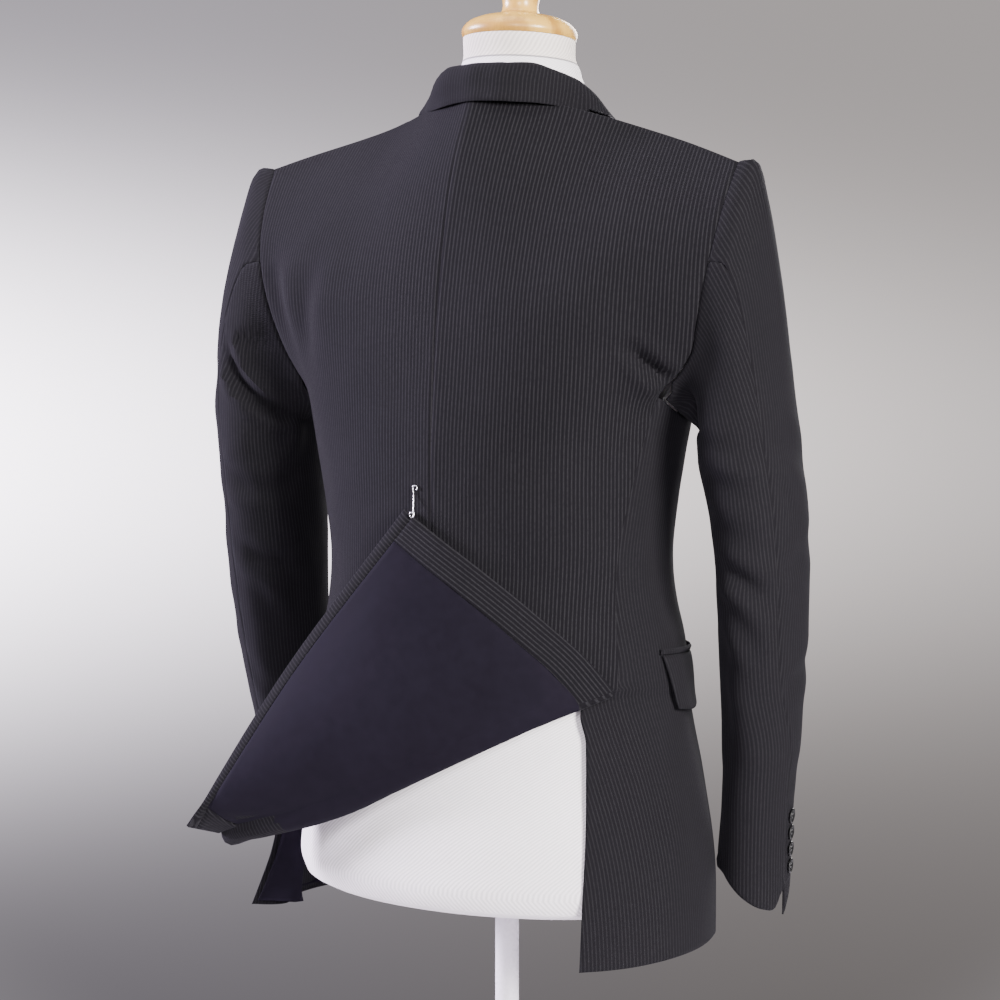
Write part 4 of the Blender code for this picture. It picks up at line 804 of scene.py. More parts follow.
def seat_of(node):
    """Where a flat round node lies: its middle, its facing away from the pole, its
    radius and its thickness."""
    points, _ = node_points(node)
    middle = (points.min(axis=0) + points.max(axis=0)) / 2
    facing = np.linalg.svd(points - middle)[2][2]
    if facing @ np.array([middle[0], middle[1], 0.0]) < 0:
        facing = -facing
    out = (points - middle) @ facing
    middle = middle + facing * (out.max() + out.min()) / 2
    away = points - middle
    away = away - np.outer(away @ facing, facing)
    return middle, facing, np.linalg.norm(away, axis=1).max(), out.max() - out.min()


# A button of radius 1 and thickness 1, from the middle of its back round to its well, and
# the holes in it.
BUTTON_PROFILE = [
    (0.00, -0.50),
    (0.62, -0.50),
    (0.88, -0.28),
    (0.985, 0.02),
    (1.00, 0.20),
    (0.97, 0.38),
    (0.90, 0.48),
    (0.82, 0.50),
    (0.74, 0.42),
    (0.66, 0.24),
    (0.56, 0.16),
    (0.00, 0.12),
]
BUTTON_SIDES = 48
HOLE_RADIUS = 0.115
HOLE_APART = 0.25
HOLE_SIDES = 16
PIN_WIRE_RADIUS = 0.0006
PIN_POINTS = 120


def turned_bmesh(profile, sides):
    """A profile of (radius, height) pairs spun round the Z axis."""
    bm = bmesh.new()
    verts = [bm.verts.new((radius, 0.0, height)) for radius, height in profile]
    edges = [bm.edges.new(pair) for pair in zip(verts, verts[1:])]
    bmesh.ops.spin(
        bm,
        geom=verts + edges,
        cent=(0, 0, 0),
        axis=(0, 0, 1),
        angle=2 * pi,
        steps=sides,
        use_merge=True,
        use_duplicate=False,
    )
    bmesh.ops.remove_doubles(bm, verts=bm.verts[:], dist=1e-7)
    bmesh.ops.recalc_face_normals(bm, faces=bm.faces[:])
    return bm


def lift_out(cutter_source, body):
    """Cuts one mesh out of another and gives the result as a new mesh."""
    cutter = add_object("cutter", cutter_source)
    holder = add_object("holder", body)
    cut = holder.modifiers.new("holes", "BOOLEAN")
    cut.operation = "DIFFERENCE"
    cut.solver = "EXACT"
    cut.object = cutter
    graph = bpy.context.evaluated_depsgraph_get()
    mesh = bpy.data.meshes.new_from_object(holder.evaluated_get(graph))
    for obj in (cutter, holder):
        bpy.data.objects.remove(obj)
    return mesh


def button_mesh():
    """A four-hole button of radius 1 and thickness 1, facing +Z."""
    holes = bmesh.new()
    for x in (-HOLE_APART, HOLE_APART):
        for y in (-HOLE_APART, HOLE_APART):
            bmesh.ops.create_cone(
                holes,
                cap_ends=True,
                segments=HOLE_SIDES,
                radius1=HOLE_RADIUS,
                radius2=HOLE_RADIUS * 1.15,
                depth=1.6,
                matrix=Matrix.Translation((x, y, 0.3)),
            )
    body = turned_bmesh(BUTTON_PROFILE, BUTTON_SIDES)
    return lift_out(mesh_of(holes, "holes"), mesh_of(body, "blank"))


def thread_bmesh():
    """The thread in a button of radius 1: three strands each way from hole to hole, and
    the shank under it."""
    bm = bmesh.new()
    for y in (-HOLE_APART, HOLE_APART):
        for step in (-1, 0, 1):
            made = bmesh.ops.create_uvsphere(bm, u_segments=10, v_segments=8, radius=1.0)
            strand = Matrix.Translation((0, y + 0.05 * step, 0.20 - 0.02 * abs(step)))
            strand = strand @ Matrix.Diagonal((HOLE_APART + 0.06, 0.032, 0.09, 1))
            bmesh.ops.transform(bm, matrix=strand, verts=made["verts"])
    return bm


def place_button(node, blank, horn, thread):
    """One sewn button on the cloth, turned to lie as its node lies."""
    middle, facing, radius, thickness = seat_of(node)
    up = Vector((0, 0, 1))
    out = Vector(facing)
    side = up.cross(out).normalized()
    turn = Matrix((side, out.cross(side), out)).transposed().to_4x4()
    place = Matrix.Translation(middle) @ turn @ Matrix.Diagonal((radius, radius, thickness, 1))
    bm = bmesh.new()
    bm.from_mesh(blank)
    bmesh.ops.transform(bm, matrix=place, verts=bm.verts[:])
    body, before = set(bm.faces), set(bm.verts)
    bm.from_mesh(mesh_of(thread_bmesh(), "thread"))
    sewn = [vert for vert in bm.verts if vert not in before]
    bmesh.ops.transform(bm, matrix=place, verts=sewn)
    for face in bm.faces:
        face.material_index = 0 if face in body else 1
    mesh = mesh_of(bm, node + "_sewn", horn, thread)
    soften(mesh, 40)
    return dress(add_object(node + "_sewn", mesh), node)


def wire_line(node):
    """The middle line of a square wire's node, ring by ring from one end."""
    points, joined = node_points(node)

    def spread(start):
        steps, ring = {k: 0 for k in start}, list(start)
        for here in ring:
            for ahead in joined[here]:
                if ahead not in steps:
                    steps[ahead] = steps[here] + 1
                    ring.append(ahead)
        return steps

    reach = spread([0])
    end = max(reach, key=reach.get)
    near = np.argsort(np.linalg.norm(points - points[end], axis=1))[:4]
    reach = spread(list(near))
    rings = [[k for k in reach if reach[k] == step] for step in range(max(reach.values()) + 1)]
    return np.array([points[ring].mean(axis=0) for ring in rings])


def smooth_line(points, count):
    run = np.concatenate([[0.0], np.cumsum(np.linalg.norm(np.diff(points, axis=0), axis=1))])
    return table_curve(run, points, np.linspace(0, run[-1], count))


# --------------------------------------------------------------- the dress form

# The form's cap leans back with the neck's top. The neck's upper rings lean with it, and
# its cream band starts at the seam.
CAP_TILT = radians(4.3)
CAP_CENTRE = (0.0, -0.022, 1.5243)
NECK_RIM = 1.510
NECK_SEAM = 1.503


def ring_rows(node):
    """A lofted node's rings from the bottom up, each in the order round the pole."""
    points, _ = node_points(node)
    lean = np.where(points[:, 2] > NECK_RIM, (points[:, 1] - CAP_CENTRE[1]) * tan(CAP_TILT), 0)
    heights = np.round(points[:, 2] - lean, 4)
    rows = []
    for height in np.unique(heights):
        ring = points[heights == height]
        middle = ring.mean(axis=0)
        turn = np.arctan2(ring[:, 1] - middle[1], ring[:, 0] - middle[0])
        rows.append(ring[np.argsort(turn)])
    return np.array(rows)


def round_smooth(rows, sides):
    """Rings filled out between their points, round a closed turn."""
    wrapped = np.concatenate([rows[:, -3:], rows, rows[:, :4]], axis=1)
    knots = np.arange(wrapped.shape[1], dtype=float)
    at = 3 + np.arange(sides) * rows.shape[1] / sides
    return table_curve(knots, wrapped.transpose(1, 0, 2), at).transpose(1, 0, 2)


def padded_form(node, look, levels, sides=96):
    """A smooth covered form through a node's rings, closed at both ends."""
    rows = ring_rows(node)
    height = rows[:, :, 2].mean(axis=1)
    finer = np.unique(np.concatenate([height, np.linspace(height[0], height[-1], levels)]))
    filled = table_curve(height, rows, finer)
    grid = round_smooth(filled, sides)
    grid = np.concatenate([grid, grid[:, :1]], axis=1)
    around, up = runs(grid, 1), runs(grid, 0)
    coordinates = np.stack([around, np.broadcast_to(finer[:, None], around.shape)], axis=-1)
    mesh = sheet_mesh(node + "_cover", grid, coordinates, 1)
    bm = bmesh.new()
    bm.from_mesh(mesh)
    bmesh.ops.remove_doubles(bm, verts=bm.verts[:], dist=1e-6)
    ends = [edge for edge in bm.edges if edge.is_boundary]
    bmesh.ops.holes_fill(bm, edges=ends, sides=0)
    bmesh.ops.recalc_face_normals(bm, faces=bm.faces[:])
    bm.to_mesh(mesh)
    bm.free()
    mesh.materials.append(look)
    soften(mesh, 40)
    return dress(add_object(node + "_cover", mesh), node)


def node_profile(node, tilt=0.0, centre=(0.0, 0.0, 0.0)):
    """A turned node's outline as (radius, height) pairs, from the bottom to the top."""
    points, joined = node_points(node)
    back = Matrix.Rotation(-tilt, 3, "X")
    points = (points - np.array(centre)) @ np.array(back).T
    radius = np.linalg.norm(points[:, :2], axis=1)
    on_line = (radius < 1e-4) | (np.abs(np.arctan2(points[:, 1], points[:, 0])) < 0.02)
    line = [k for k in range(len(points)) if on_line[k]]
    here = min(line, key=lambda k: points[k, 2])
    seen, profile = set(), [(0.0, points[here, 2])]
    while here is not None:
        seen.add(here)
        profile.append((radius[here], points[here, 2]))
        here = next((n for n in joined[here] if n in line and n not in seen), None)
    if profile[-1][0] > 1e-4:
        profile.append((0.0, profile[-1][1]))
    return profile


def turned_piece(
    node, look, sides=96, tilt=0.0, centre=(0.0, 0.0, 0.0), profile=None, ease=0.0006
):
    """A turned part spun from its node's outline, its edges eased."""
    bm = turned_bmesh(profile or node_profile(node, tilt, centre), sides)
    place = Matrix.Translation(centre) @ Matrix.Rotation(tilt, 4, "X")
    bmesh.ops.transform(bm, matrix=place, verts=bm.verts[:])
    mesh = mesh_of(bm, node + "_turned", look)
    soften(mesh, 35)
    obj = add_object(node + "_turned", mesh)
    if ease:
        bevel = obj.modifiers.new("eased", "BEVEL")
        bevel.width = ease
        bevel.segments = 2
        bevel.limit_method = "ANGLE"
        bevel.angle_limit = radians(35)
        bevel.harden_normals = True
    return dress(obj, node)


# ------------------------------------------------------------------- materials


def node_group(name, inputs, outputs):
    """An empty shader group with named sockets, and its two ends."""
    group = bpy.data.node_groups.new(name, "ShaderNodeTree")
    for label, kind, value in inputs:
        socket = group.interface.new_socket(label, in_out="INPUT", socket_type=kind)
        socket.default_value = value
    for label, kind in outputs:
        group.interface.new_socket(label, in_out="OUTPUT", socket_type=kind)
    start = group.nodes.new("NodeGroupInput")
    end = group.nodes.new("NodeGroupOutput")
    return group, start, end


class Wiring:
    """Adds nodes to a tree and joins them up."""

    def __init__(self, tree):
        self.tree = tree

    def add(self, kind, **settings):
        node = self.tree.nodes.new(kind)
        for name, value in settings.items():
            setattr(node, name, value)
        return node

    def join(self, source, socket):
        self.tree.links.new(source, socket)

    def fill(self, socket, value):
        if isinstance(value, bpy.types.NodeSocket):
            self.join(value, socket)
        else:
            socket.default_value = value

    def math(self, operation, *values):
        node = self.add("ShaderNodeMath", operation=operation)
        for socket, value in zip(node.inputs, values):
            self.fill(socket, value)
        return node.outputs[0]

    def plus(self, a, b):
        return self.math("ADD", a, b)

    def less(self, a, b):
        return self.math("SUBTRACT", a, b)

    def times(self, a, b):
        return self.math("MULTIPLY", a, b)

    def over(self, a, b):
        return self.math("DIVIDE", a, b)

    def clamp(self, value, low, high):
        return self.math("MINIMUM", self.math("MAXIMUM", value, low), high)

    def dot(self, vector, way):
        node = self.add("ShaderNodeVectorMath", operation="DOT_PRODUCT")
        self.join(vector, node.inputs[0])
        node.inputs[1].default_value = way
        return node.outputs["Value"]

    def ramp(self, value, low, high, to_low=0.0, to_high=1.0):
        node = self.add("ShaderNodeMapRange", interpolation_type="SMOOTHSTEP")
        labels = ("Value", "From Min", "From Max", "To Min", "To Max")
        for label, given in zip(labels, (value, low, high, to_low, to_high)):
            self.fill(node.inputs[label], given)
        return node.outputs[0]

    def place(self):
        """Where a point of the piece is."""
        return self.add("ShaderNodeTexCoord").outputs["Object"]

    def cloth(self):
        """The two cloth coordinates: across and along the stripes."""
        return self.parted(self.add("ShaderNodeUVMap", uv_map="cloth").outputs[0])[:2]

    def parted(self, vector):
        node = self.add("ShaderNodeSeparateXYZ")
        self.join(vector, node.inputs[0])
        return node.outputs

    def scaled(self, colour, gain):
        node = self.add("ShaderNodeVectorMath", operation="SCALE")
        self.fill(node.inputs[0], colour)
        self.fill(node.inputs["Scale"], gain)
        return node.outputs[0]

    def mix(self, factor, a, b):
        node = self.add("ShaderNodeMix", data_type="RGBA")
        self.fill(node.inputs[0], factor)
        self.fill(node.inputs[6], a)
        self.fill(node.inputs[7], b)
        return node.outputs[2]

    def noise(self, vector, scale, detail=3.0, roughness=0.5):
        node = self.add("ShaderNodeTexNoise")
        self.fill(node.inputs["Vector"], vector)
        self.fill(node.inputs["Scale"], scale)
        node.inputs["Detail"].default_value = detail
        node.inputs["Roughness"].default_value = roughness
        return node.outputs["Fac"]


def rgba(colour):
    return (*colour, 1.0)


# The weave: the share of it that its stripes cover, the strength they keep where the
# cloth was pressed, how far a stripe wanders, and the pitches of the twill and threads.
STRIPE_SHARE = 0.31
PRESSED_CONTRAST = 0.66
STRIPE_WANDER = 0.0004
TWILL_PITCH = 0.0007
THREAD_PITCH = 0.00045
# The neck's cream band, its seam, and the wood's dark bands, as shares of the colour of
# the cover or of the wood's pale bands.
CREAM_SHARE = (0.96, 0.92, 0.83)
SEAM_SHADE = 0.32
DARK_WOOD_SHARE = (0.62, 0.52, 0.42)


def cloth_unevenness():
    """Slight lighter and darker places over worn cloth."""
    group, start, end = node_group(
        "Cloth unevenness",
        [
            ("Colour", "NodeSocketColor", (0.5, 0.5, 0.5, 1)),
            ("Amount", "NodeSocketFloat", 0.15),
            ("Size", "NodeSocketFloat", 12.0),
        ],
        [("Colour", "NodeSocketColor"), ("Mask", "NodeSocketFloat")],
    )
    w = Wiring(group)
    spot = w.place()
    broad = w.noise(spot, start.outputs["Size"], 3)
    fine = w.noise(spot, w.times(start.outputs["Size"], 22.0), 2)
    mask = w.plus(w.times(broad, 0.65), w.times(fine, 0.35))
    swing = w.times(w.less(mask, 0.5), start.outputs["Amount"])
    gain = w.plus(1.0, w.times(swing, 4.0))
    w.join(w.scaled(start.outputs["Colour"], gain), end.inputs["Colour"])
    w.join(mask, end.inputs["Mask"])
    return group


def pinstripe_weave():
    """Fine light stripes of single threads on a twill ground, on cloth coordinates."""
    group, start, end = node_group(
        "Pinstripe weave",
        [
            ("Ground", "NodeSocketColor", (0.02, 0.02, 0.02, 1)),
            ("Stripe", "NodeSocketColor", (0.1, 0.1, 0.1, 1)),
            ("Pitch", "NodeSocketFloat", 0.0035),
            ("Width", "NodeSocketFloat", 0.0011),
        ],
        [("Colour", "NodeSocketColor"), ("Height", "NodeSocketFloat")],
    )
    w = Wiring(group)
    across, along = w.cloth()
    spot, pitch = w.place(), start.outputs["Pitch"]
    wander = w.less(w.noise(spot, 60.0, 2), 0.5)
    shifted = w.plus(across, w.times(wander, STRIPE_WANDER))
    turn = w.math("FRACT", w.over(shifted, pitch))
    off = w.times(w.math("ABSOLUTE", w.less(turn, 0.5)), pitch)
    half = w.times(start.outputs["Width"], 0.5)
    line = w.ramp(off, w.times(half, 0.55), w.times(half, 1.5), 1.0, 0.0)
    slub = w.ramp(w.noise(spot, 420.0, 2), 0.32, 0.62, 0.62, 1.0)
    strength = w.times(line, slub)
    diagonal = w.plus(across, along)
    twill = w.math("SINE", w.times(diagonal, 2 * pi / TWILL_PITCH))
    thread = w.math("SINE", w.times(across, 2 * pi / THREAD_PITCH))
    height = w.plus(w.times(twill, 0.5), w.times(thread, 0.25))
    shade = w.ramp(twill, -1.0, 1.0, 0.86, 1.12)
    blend = w.mix(strength, start.outputs["Ground"], start.outputs["Stripe"])
    w.join(w.scaled(blend, shade), end.inputs["Colour"])
    w.join(height, end.inputs["Height"])
    return group


def diagonal_cover():
    """The form's tightly woven cover: a fine diagonal rib."""
    group, start, end = node_group(
        "Diagonal cover",
        [("Colour", "NodeSocketColor", (0.8, 0.8, 0.8, 1)), ("Rib", "NodeSocketFloat", 0.0026)],
        [("Colour", "NodeSocketColor"), ("Height", "NodeSocketFloat")],
    )
    w = Wiring(group)
    around, up = w.cloth()
    lean = w.plus(around, w.times(up, -0.9))
    turn = w.over(lean, start.outputs["Rib"])
    rib = w.math("SINE", w.times(turn, 2 * pi))
    shade = w.ramp(rib, -1.0, 1.0, 0.80, 1.04)
    w.join(w.scaled(start.outputs["Colour"], shade), end.inputs["Colour"])
    w.join(rib, end.inputs["Height"])
    return group


def turned_grain():
    """Wood grain drawn round a turned piece."""
    group, start, end = node_group(
        "Turned grain",
        [
            ("Pale", "NodeSocketColor", (0.6, 0.4, 0.2, 1)),
            ("Dark", "NodeSocketColor", (0.3, 0.17, 0.07, 1)),
            ("Bands", "NodeSocketFloat", 90.0),
        ],
        [("Colour", "NodeSocketColor"), ("Mask", "NodeSocketFloat")],
    )
    w = Wiring(group)
    turned = w.add("ShaderNodeMapping")
    turned.inputs["Rotation"].default_value = (radians(78), radians(12), 0)
    turned.inputs["Scale"].default_value = (1.0, 1.0, 0.16)
    w.join(w.place(), turned.inputs["Vector"])
    warp = w.noise(turned.outputs[0], 34.0, 3)
    wave = w.add("ShaderNodeTexWave", wave_type="RINGS", rings_direction="Z")
    wave.inputs["Distortion"].default_value = 3.2
    wave.inputs["Detail"].default_value = 3.0
    w.join(start.outputs["Bands"], wave.inputs["Scale"])
    w.join(turned.outputs[0], wave.inputs["Vector"])
    fibre = w.noise(turned.outputs[0], 420.0, 2, 0.7)
    rings = w.plus(wave.outputs["Fac"], fibre)
    rings = w.plus(rings, w.less(warp, 0.5))
    mask = w.times(rings, 0.5)
    mixed = w.mix(w.ramp(mask, 0.30, 0.85), start.outputs["Pale"], start.outputs["Dark"])
    w.join(mixed, end.inputs["Colour"])
    w.join(mask, end.inputs["Mask"])
    return group


def new_look(name, **sockets):
    """A material with its Principled shader's fixed values set, and its wiring."""
    material = bpy.data.materials.new(name)
    material.use_nodes = True
    shader = material.node_tree.nodes["Principled BSDF"]
    for label, value in sockets.items():
        label = label.replace("_", " ").title().replace("Ior", "IOR")
        shader.inputs[label].default_value = value
    return material, shader, Wiring(material.node_tree)


def place_group(w, name, **values):
    node = w.add("ShaderNodeGroup", node_tree=bpy.data.node_groups[name])
    for label, value in values.items():
        w.fill(node.inputs[label.title()], value)
    return node


def uneven(w, shader, colour, amount, size):
    """Puts a colour on a shader with the cloth's unevenness, and gives its mask."""
    even = place_group(w, "Cloth unevenness", colour=colour, amount=amount, size=size)
    w.join(even.outputs["Colour"], shader.inputs["Base Color"])
    return even.outputs["Mask"]


def polished(w, shader, mask, low, high, span=(0.3, 0.7)):
    """A roughness that goes from low to high with a mask."""
    w.join(w.ramp(mask, *span, low, high), shader.inputs["Roughness"])


def bumped(w, shader, height, strength, distance):
    bump = w.add("ShaderNodeBump")
    bump.inputs["Strength"].default_value = strength
    bump.inputs["Distance"].default_value = distance
    w.join(height, bump.inputs["Height"])
    w.join(bump.outputs[0], shader.inputs["Normal"])


def suiting_look(name="Suiting", contrast=1.0):
    """The pinstriped suiting. Where its contrast is less, its ground is lifted so that the
    cloth is as dark as before from afar."""
    settings = bpy.context.scene.cloth_settings
    lift = STRIPE_SHARE * (1 - contrast)
    apart = [stripe - ground for stripe, ground in zip(settings.stripe, settings.ground)]
    ground = [dark + lift * step for dark, step in zip(settings.ground, apart)]
    stripe = [dark + contrast * step for dark, step in zip(ground, apart)]
    material, shader, w = new_look(
        name, roughness=0.90, sheen_weight=0.020, sheen_roughness=0.50, specular_ior_level=0.035
    )
    shader.inputs["Sheen Tint"].default_value = (0.75, 0.72, 0.85, 1)
    weave = place_group(
        w,
        "Pinstripe weave",
        ground=rgba(ground),
        stripe=rgba(stripe),
        pitch=settings.pitch,
        width=settings.width,
    )
    uneven(w, shader, weave.outputs["Colour"], 0.10, 9.0)
    bumped(w, shader, weave.outputs["Height"], 0.25, 0.0002)
    return material


def soft_suiting_look():
    """The suiting where it was pressed, with its stripes a little fainter."""
    return suiting_look("Pressed suiting", PRESSED_CONTRAST)


def lining_look():
    settings = bpy.context.scene.cloth_settings
    material, shader, w = new_look(
        "Lining", sheen_weight=0.006, sheen_roughness=0.6, specular_ior_level=0.012
    )
    shader.inputs["Sheen Tint"].default_value = (0.80, 0.78, 1.0, 1)
    polished(w, shader, uneven(w, shader, rgba(settings.lining), 0.26, 5.0), 0.58, 0.72)
    bumped(w, shader, w.noise(w.place(), 900.0, 2), 0.08, 0.0002)
    return material


def button_look():
    settings = bpy.context.scene.cloth_settings
    material, shader, w = new_look("Button", specular_ior_level=0.5)
    polished(w, shader, uneven(w, shader, rgba(settings.button), 0.35, 160.0), 0.38, 0.52)
    return material


def thread_look():
    material, shader, w = new_look("Thread", roughness=0.7, sheen_weight=0.3)
    uneven(w, shader, (0.018, 0.017, 0.022, 1), 0.3, 500.0)
    bumped(w, shader, w.noise(w.place(), 4000.0, 1), 0.4, 0.0002)
    return material


def steel_look():
    material, shader, w = new_look("Pin steel", metallic=1.0)
    smear = w.noise(w.place(), 400.0, 2)
    bright = w.mix(smear, (0.78, 0.78, 0.80, 1), (0.60, 0.60, 0.63, 1))
    w.join(bright, shader.inputs["Base Color"])
    polished(w, shader, smear, 0.16, 0.32)
    return material


def banded(w, cover):
    """The cover's colour, with the neck's cream band above its seam."""
    _, y, z = w.parted(w.place())
    lean = w.times(w.less(y, CAP_CENTRE[1]), tan(CAP_TILT))
    above = w.less(w.less(z, lean), NECK_SEAM)
    cream = rgba([part * share for part, share in zip(cover, CREAM_SHARE)])
    cloth = w.mix(w.ramp(above, -0.0004, 0.0004), rgba(cover), cream)
    seam = w.ramp(w.math("ABSOLUTE", above), 0.0003, 0.0012, 1.0, 0.0)
    return w.mix(seam, cloth, rgba([SEAM_SHADE * part for part in cover]))


def cover_look():
    settings = bpy.context.scene.form_settings
    material, shader, w = new_look(
        "Form cover", roughness=0.9, sheen_weight=0.05, specular_ior_level=0.2
    )
    weave = place_group(w, "Diagonal cover", colour=banded(w, settings.cover), rib=0.0045)
    uneven(w, shader, weave.outputs["Colour"], 0.04, 8.0)
    bumped(w, shader, weave.outputs["Height"], 0.30, 0.0003)
    return material


def wood_look():
    settings = bpy.context.scene.form_settings
    material, shader, w = new_look("Varnished wood", specular_ior_level=0.5)
    pale = settings.wood
    grain = place_group(
        w,
        "Turned grain",
        pale=rgba(pale),
        dark=rgba([part * share for part, share in zip(pale, DARK_WOOD_SHARE)]),
        bands=42.0,
    )
    w.join(grain.outputs["Colour"], shader.inputs["Base Color"])
    polished(w, shader, grain.outputs["Mask"], 0.26, 0.40, span=(0.2, 0.9))
    return material


def paint_look():
    settings = bpy.context.scene.form_settings
    material, shader, w = new_look("White paint", specular_ior_level=0.5)
    polished(w, shader, uneven(w, shader, rgba(settings.paint), 0.03, 14.0), 0.22, 0.36)
    bumped(w, shader, w.noise(w.place(), 220.0, 2), 0.05, 0.0004)
    return material


def floor_look():
    settings = bpy.context.scene.studio_settings
    material, shader, w = new_look("Studio floor", roughness=0.85, specular_ior_level=0.2)
    uneven(w, shader, rgba(settings.floor), 0.03, 3.0)
    return material


def backdrop(tree, settings):
    """A lit place on a pale backdrop, seen only by the camera, and even light all round."""
    w = Wiring(tree)
    way = w.add("ShaderNodeTexCoord").outputs["Generated"]
    sideways = w.dot(way, (-cos(CAMERA_TURN), -sin(CAMERA_TURN), 0.0))
    ahead = w.dot(way, (sin(CAMERA_TURN), -cos(CAMERA_TURN), 0.0))
    height = w.dot(way, (0.0, 0.0, 1.0))
    off = w.over(w.less(height, LIT_HEIGHT), LIT_SPREAD)
    band = w.math("EXPONENT", w.times(w.times(off, off), -1.0))
    side = w.less(w.clamp(sideways, -0.2, 0.2), LIT_SIDE)
    side = w.math("EXPONENT", w.times(side, LIT_FADE))
    bright = w.times(w.times(band, side), LIT_POWER)
    dim = w.plus(w.times(w.clamp(height, -0.27, 0.12), 0.68), 0.35)
    tint = w.mix(w.ramp(sideways, -0.16, 0.14), LEFT_TINT, RIGHT_TINT)
    lit = w.scaled(tint, w.plus(bright, dim))
    seen = w.mix(w.ramp(ahead, 0.90, 0.955), rgba(settings.plain), lit)
    camera = w.add("ShaderNodeLightPath").outputs["Is Camera Ray"]
    back = tree.nodes["Background"]
    w.join(w.mix(camera, rgba(settings.around), seen), back.inputs["Color"])
    back.inputs["Strength"].default_value = 1.0


def shared_look(name, maker):
    """A look by its name, made the first time that it is asked for."""
    return bpy.data.materials.get(name) or maker()


# ------------------------------------------------------------------ the studio

# The camera's place, its turn from straight behind, its tip down, its lens in millimetres
# and its shift.
CAMERA_AT = (-1.15, 1.992, 1.296)
CAMERA_TURN = radians(30.0)
CAMERA_TIP = radians(4.59)
CAMERA_LENS = 91.9
CAMERA_SHIFT = -0.007
# The backdrop's lit place, by the way that a ray goes from the camera: its height and
# spread, its place to the left and how it fades to the right, its power, and the tints
# on either side.
LIT_HEIGHT = -0.060
LIT_SPREAD = 0.083
LIT_SIDE = -0.136
LIT_FADE = -6.0
LIT_POWER = 3.8
LEFT_TINT = (1.0, 0.93, 1.03, 1)
RIGHT_TINT = (1.0, 0.92, 0.91, 1)
# Each soft light: where it hangs, its size, and its tint. Its power is the setting of the
# same name, and they all face LIGHTS_AIM.
Lamp = namedtuple("Lamp", "name place size tint")
LAMPS = [
    Lamp("key", (3.9, 1.3, 2.2), 1.2, (1.0, 0.90, 1.13)),
    Lamp("fill", (-3.6, 1.6, 2.1), 1.2, (1.0, 0.97, 0.95)),
    Lamp("top", (0.2, 0.6, 3.4), 2.0, (1.0, 0.98, 1.0)),
    Lamp("back", (-1.6, 3.8, 2.6), 1.2, (1.0, 0.95, 1.02)),
    Lamp("front", (0.5, -3.6, 2.2), 1.6, (1.0, 0.97, 0.98)),
]
LIGHTS_AIM = Vector((0, 0.02, 1.1))
FLOOR_RADIUS = 1.9
FLOOR_DROP = 0.0004


# ------------------------------------------------------------------- operators


class JACKET_OT_weaves(bpy.types.Operator):
    """Build the shared effects that the cloth, wood and paint use"""

    bl_idname = "jacket.weaves"
    bl_label = "Weaves and grain"

    def execute(self, context):
        cloth_unevenness()
        pinstripe_weave()
        diagonal_cover()
        turned_grain()
        return {"FINISHED"}


class JACKET_OT_body(bpy.types.Operator):
    """Lay the back, side and front panels and the sleeves, seam to seam"""

    bl_idname = "jacket.body"
    bl_label = "Body and sleeves"

    def execute(self, context):
        seams = []
        plain = shared_look("Suiting", suiting_look)
        soft = shared_look("Pressed suiting", soft_suiting_look)
        for piece in BODY + SLEEVES:
            cloth = soft if piece.node in EASED_STRIPES else plain
            lay_cloth(piece, cloth, seams=seams)
        return {"FINISHED"}


class JACKET_OT_skirt(bpy.types.Operator):
    """Lay the turned-up back skirt with its lining, facings and hem"""

    bl_idname = "jacket.skirt"
    bl_label = "Turned-up skirt"

    def execute(self, context):
        cloth = shared_look("Suiting", suiting_look)
        lining = shared_look("Lining", lining_look)
        lay_cloth(SKIRT, lining, inner=cloth, faced=skirt_facing)
        for piece in FACINGS:
            lay_cloth(piece, cloth, lined=True)
        for piece in LININGS:
            lay_cloth(piece, lining, lined=True)
        return {"FINISHED"}


class JACKET_OT_collar(bpy.types.Operator):
    """Lay the collar and lapels"""

    bl_idname = "jacket.collar"
    bl_label = "Collar and lapels"

    def execute(self, context):
        for piece in COLLARS:
            lay_cloth(piece, shared_look("Pressed suiting", soft_suiting_look))
        return {"FINISHED"}


class JACKET_OT_pockets(bpy.types.Operator):
    """Lay the hip pockets' flaps and jets and the breast welt"""

    bl_idname = "jacket.pockets"
    bl_label = "Pockets"

    def execute(self, context):
        for piece in POCKETS:
            lay_cloth(piece, shared_look("Pressed suiting", soft_suiting_look))
        return {"FINISHED"}


class JACKET_OT_buttons(bpy.types.Operator):
    """Sew on the front and cuff buttons"""

    bl_idname = "jacket.buttons"
    bl_label = "Buttons"

    def execute(self, context):
        blank = button_mesh()
        horn = shared_look("Button", button_look)
        thread = shared_look("Thread", thread_look)
        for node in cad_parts:
            if "_button_" in node:
                place_button(node, blank, horn, thread)
        return {"FINISHED"}


class JACKET_OT_pin(bpy.types.Operator):
    """Bend the safety pin that holds the turned-up corner"""

    bl_idname = "jacket.pin"
    bl_label = "Safety pin"

    def execute(self, context):
        line = smooth_line(wire_line("safety_pin"), PIN_POINTS)
        curve = bpy.data.curves.new("safety_pin_wire", "CURVE")
        curve.dimensions = "3D"
        curve.bevel_depth = PIN_WIRE_RADIUS
        curve.bevel_resolution = 4
        curve.use_fill_caps = True
        spline = curve.splines.new("POLY")
        spline.points.add(len(line) - 1)
        for spot, point in zip(spline.points, line):
            spot.co = (*point, 1.0)
        curve.materials.append(shared_look("Pin steel", steel_look))
        dress(add_object("safety_pin_wire", curve), "safety_pin")
        return {"FINISHED"}


class JACKET_OT_form(bpy.types.Operator):
    """Cover the form's torso and neck"""

    bl_idname = "jacket.form"
    bl_label = "Form"

    def execute(self, context):
        cover = shared_look("Form cover", cover_look)
        padded_form("form_torso", cover, 110)
        padded_form("form_neck", cover, 24)
        return {"FINISHED"}


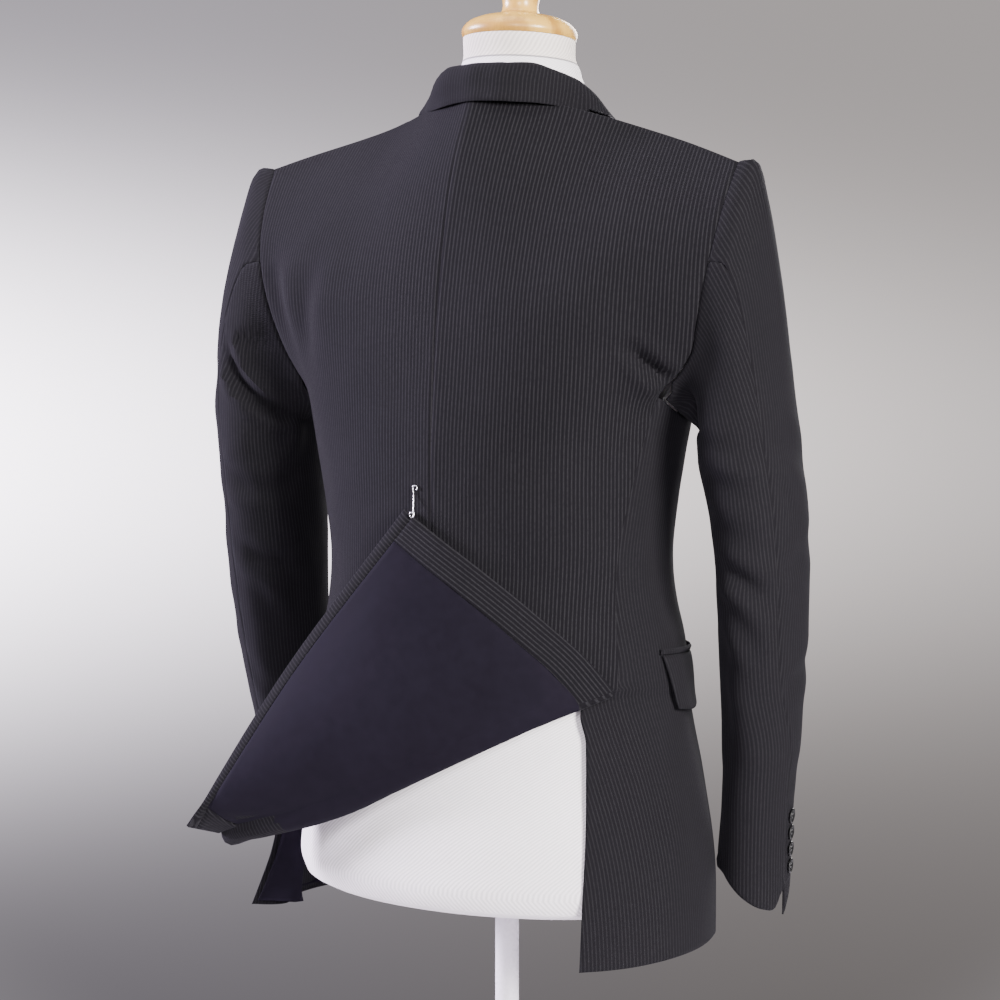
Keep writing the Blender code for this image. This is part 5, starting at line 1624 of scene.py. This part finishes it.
class JACKET_OT_stand(bpy.types.Operator):
    """Turn the neck cap, the pole, its socket and the base"""

    bl_idname = "jacket.stand"
    bl_label = "Cap and stand"

    def execute(self, context):
        paint = shared_look("White paint", paint_look)
        profile = node_profile("neck_cap", CAP_TILT, CAP_CENTRE)
        rounded = smooth_line(np.array(profile[1:-1]), 60)
        turned_piece(
            "neck_cap",
            shared_look("Varnished wood", wood_look),
            tilt=CAP_TILT,
            centre=CAP_CENTRE,
            profile=[profile[0], *map(tuple, rounded), profile[-1]],
            ease=0,
        )
        turned_piece("pole", paint, sides=64)
        turned_piece("pole_socket", paint, sides=96)
        turned_piece("base", paint, sides=128)
        return {"FINISHED"}


class JACKET_OT_studio(bpy.types.Operator):
    """Set the floor, backdrop, lights and camera"""

    bl_idname = "jacket.studio"
    bl_label = "Studio"

    def execute(self, context):
        settings = context.scene.studio_settings
        bm = bmesh.new()
        under = Matrix.Translation((0, 0, -FLOOR_DROP))
        bmesh.ops.create_circle(
            bm, cap_ends=True, segments=96, radius=FLOOR_RADIUS, matrix=under
        )
        floor = mesh_of(bm, "studio_floor", shared_look("Studio floor", floor_look))
        add_object("studio_floor", floor)
        world = bpy.data.worlds.new("Studio")
        world.use_nodes = True
        backdrop(world.node_tree, settings)
        context.scene.world = world
        for lamp in LAMPS:
            light = bpy.data.lights.new(lamp.name + "_light", "AREA")
            light.size = lamp.size
            light.energy = getattr(settings, lamp.name)
            light.color = lamp.tint
            obj = add_object(light.name, light)
            obj.location = lamp.place
            aim = LIGHTS_AIM - Vector(lamp.place)
            obj.rotation_euler = aim.to_track_quat("-Z", "Y").to_euler()
        lens = bpy.data.cameras.new("photo_camera")
        lens.lens = CAMERA_LENS
        lens.sensor_width = 36.0
        lens.shift_x = CAMERA_SHIFT
        lens.clip_end = 50.0
        camera = add_object("photo_camera", lens)
        camera.location = CAMERA_AT
        flat = cos(CAMERA_TIP)
        ahead = Vector((sin(CAMERA_TURN) * flat, -cos(CAMERA_TURN) * flat, -sin(CAMERA_TIP)))
        camera.rotation_euler = ahead.to_track_quat("-Z", "Y").to_euler()
        context.scene.camera = camera
        return {"FINISHED"}


OPERATORS = (
    JACKET_OT_weaves,
    JACKET_OT_body,
    JACKET_OT_skirt,
    JACKET_OT_collar,
    JACKET_OT_pockets,
    JACKET_OT_buttons,
    JACKET_OT_pin,
    JACKET_OT_form,
    JACKET_OT_stand,
    JACKET_OT_studio,
)


class JACKET_PT_panel(bpy.types.Panel):
    """The jacket's settings and pieces in the sidebar"""

    bl_label = "Jacket"
    bl_idname = "JACKET_PT_panel"
    bl_space_type = "VIEW_3D"
    bl_region_type = "UI"
    bl_category = "Jacket"

    def draw(self, context):
        layout = self.layout
        for name, kind in SETTINGS.items():
            box = layout.box()
            for label in kind.__annotations__:
                box.prop(getattr(context.scene, name), label)
        for operator in OPERATORS:
            layout.operator(operator.bl_idname)


CLASSES = (*SETTINGS.values(), *OPERATORS, JACKET_PT_panel)


def register():
    for cls in CLASSES:
        bpy.utils.register_class(cls)
    for name, kind in SETTINGS.items():
        setattr(bpy.types.Scene, name, PointerProperty(type=kind))


def unregister():
    for name in SETTINGS:
        delattr(bpy.types.Scene, name)
    for cls in reversed(CLASSES):
        bpy.utils.unregister_class(cls)


def main():
    register()
    for operator in OPERATORS:
        area, name = operator.bl_idname.split(".")
        getattr(getattr(bpy.ops, area), name)()


if __name__ == "__main__":
    main()
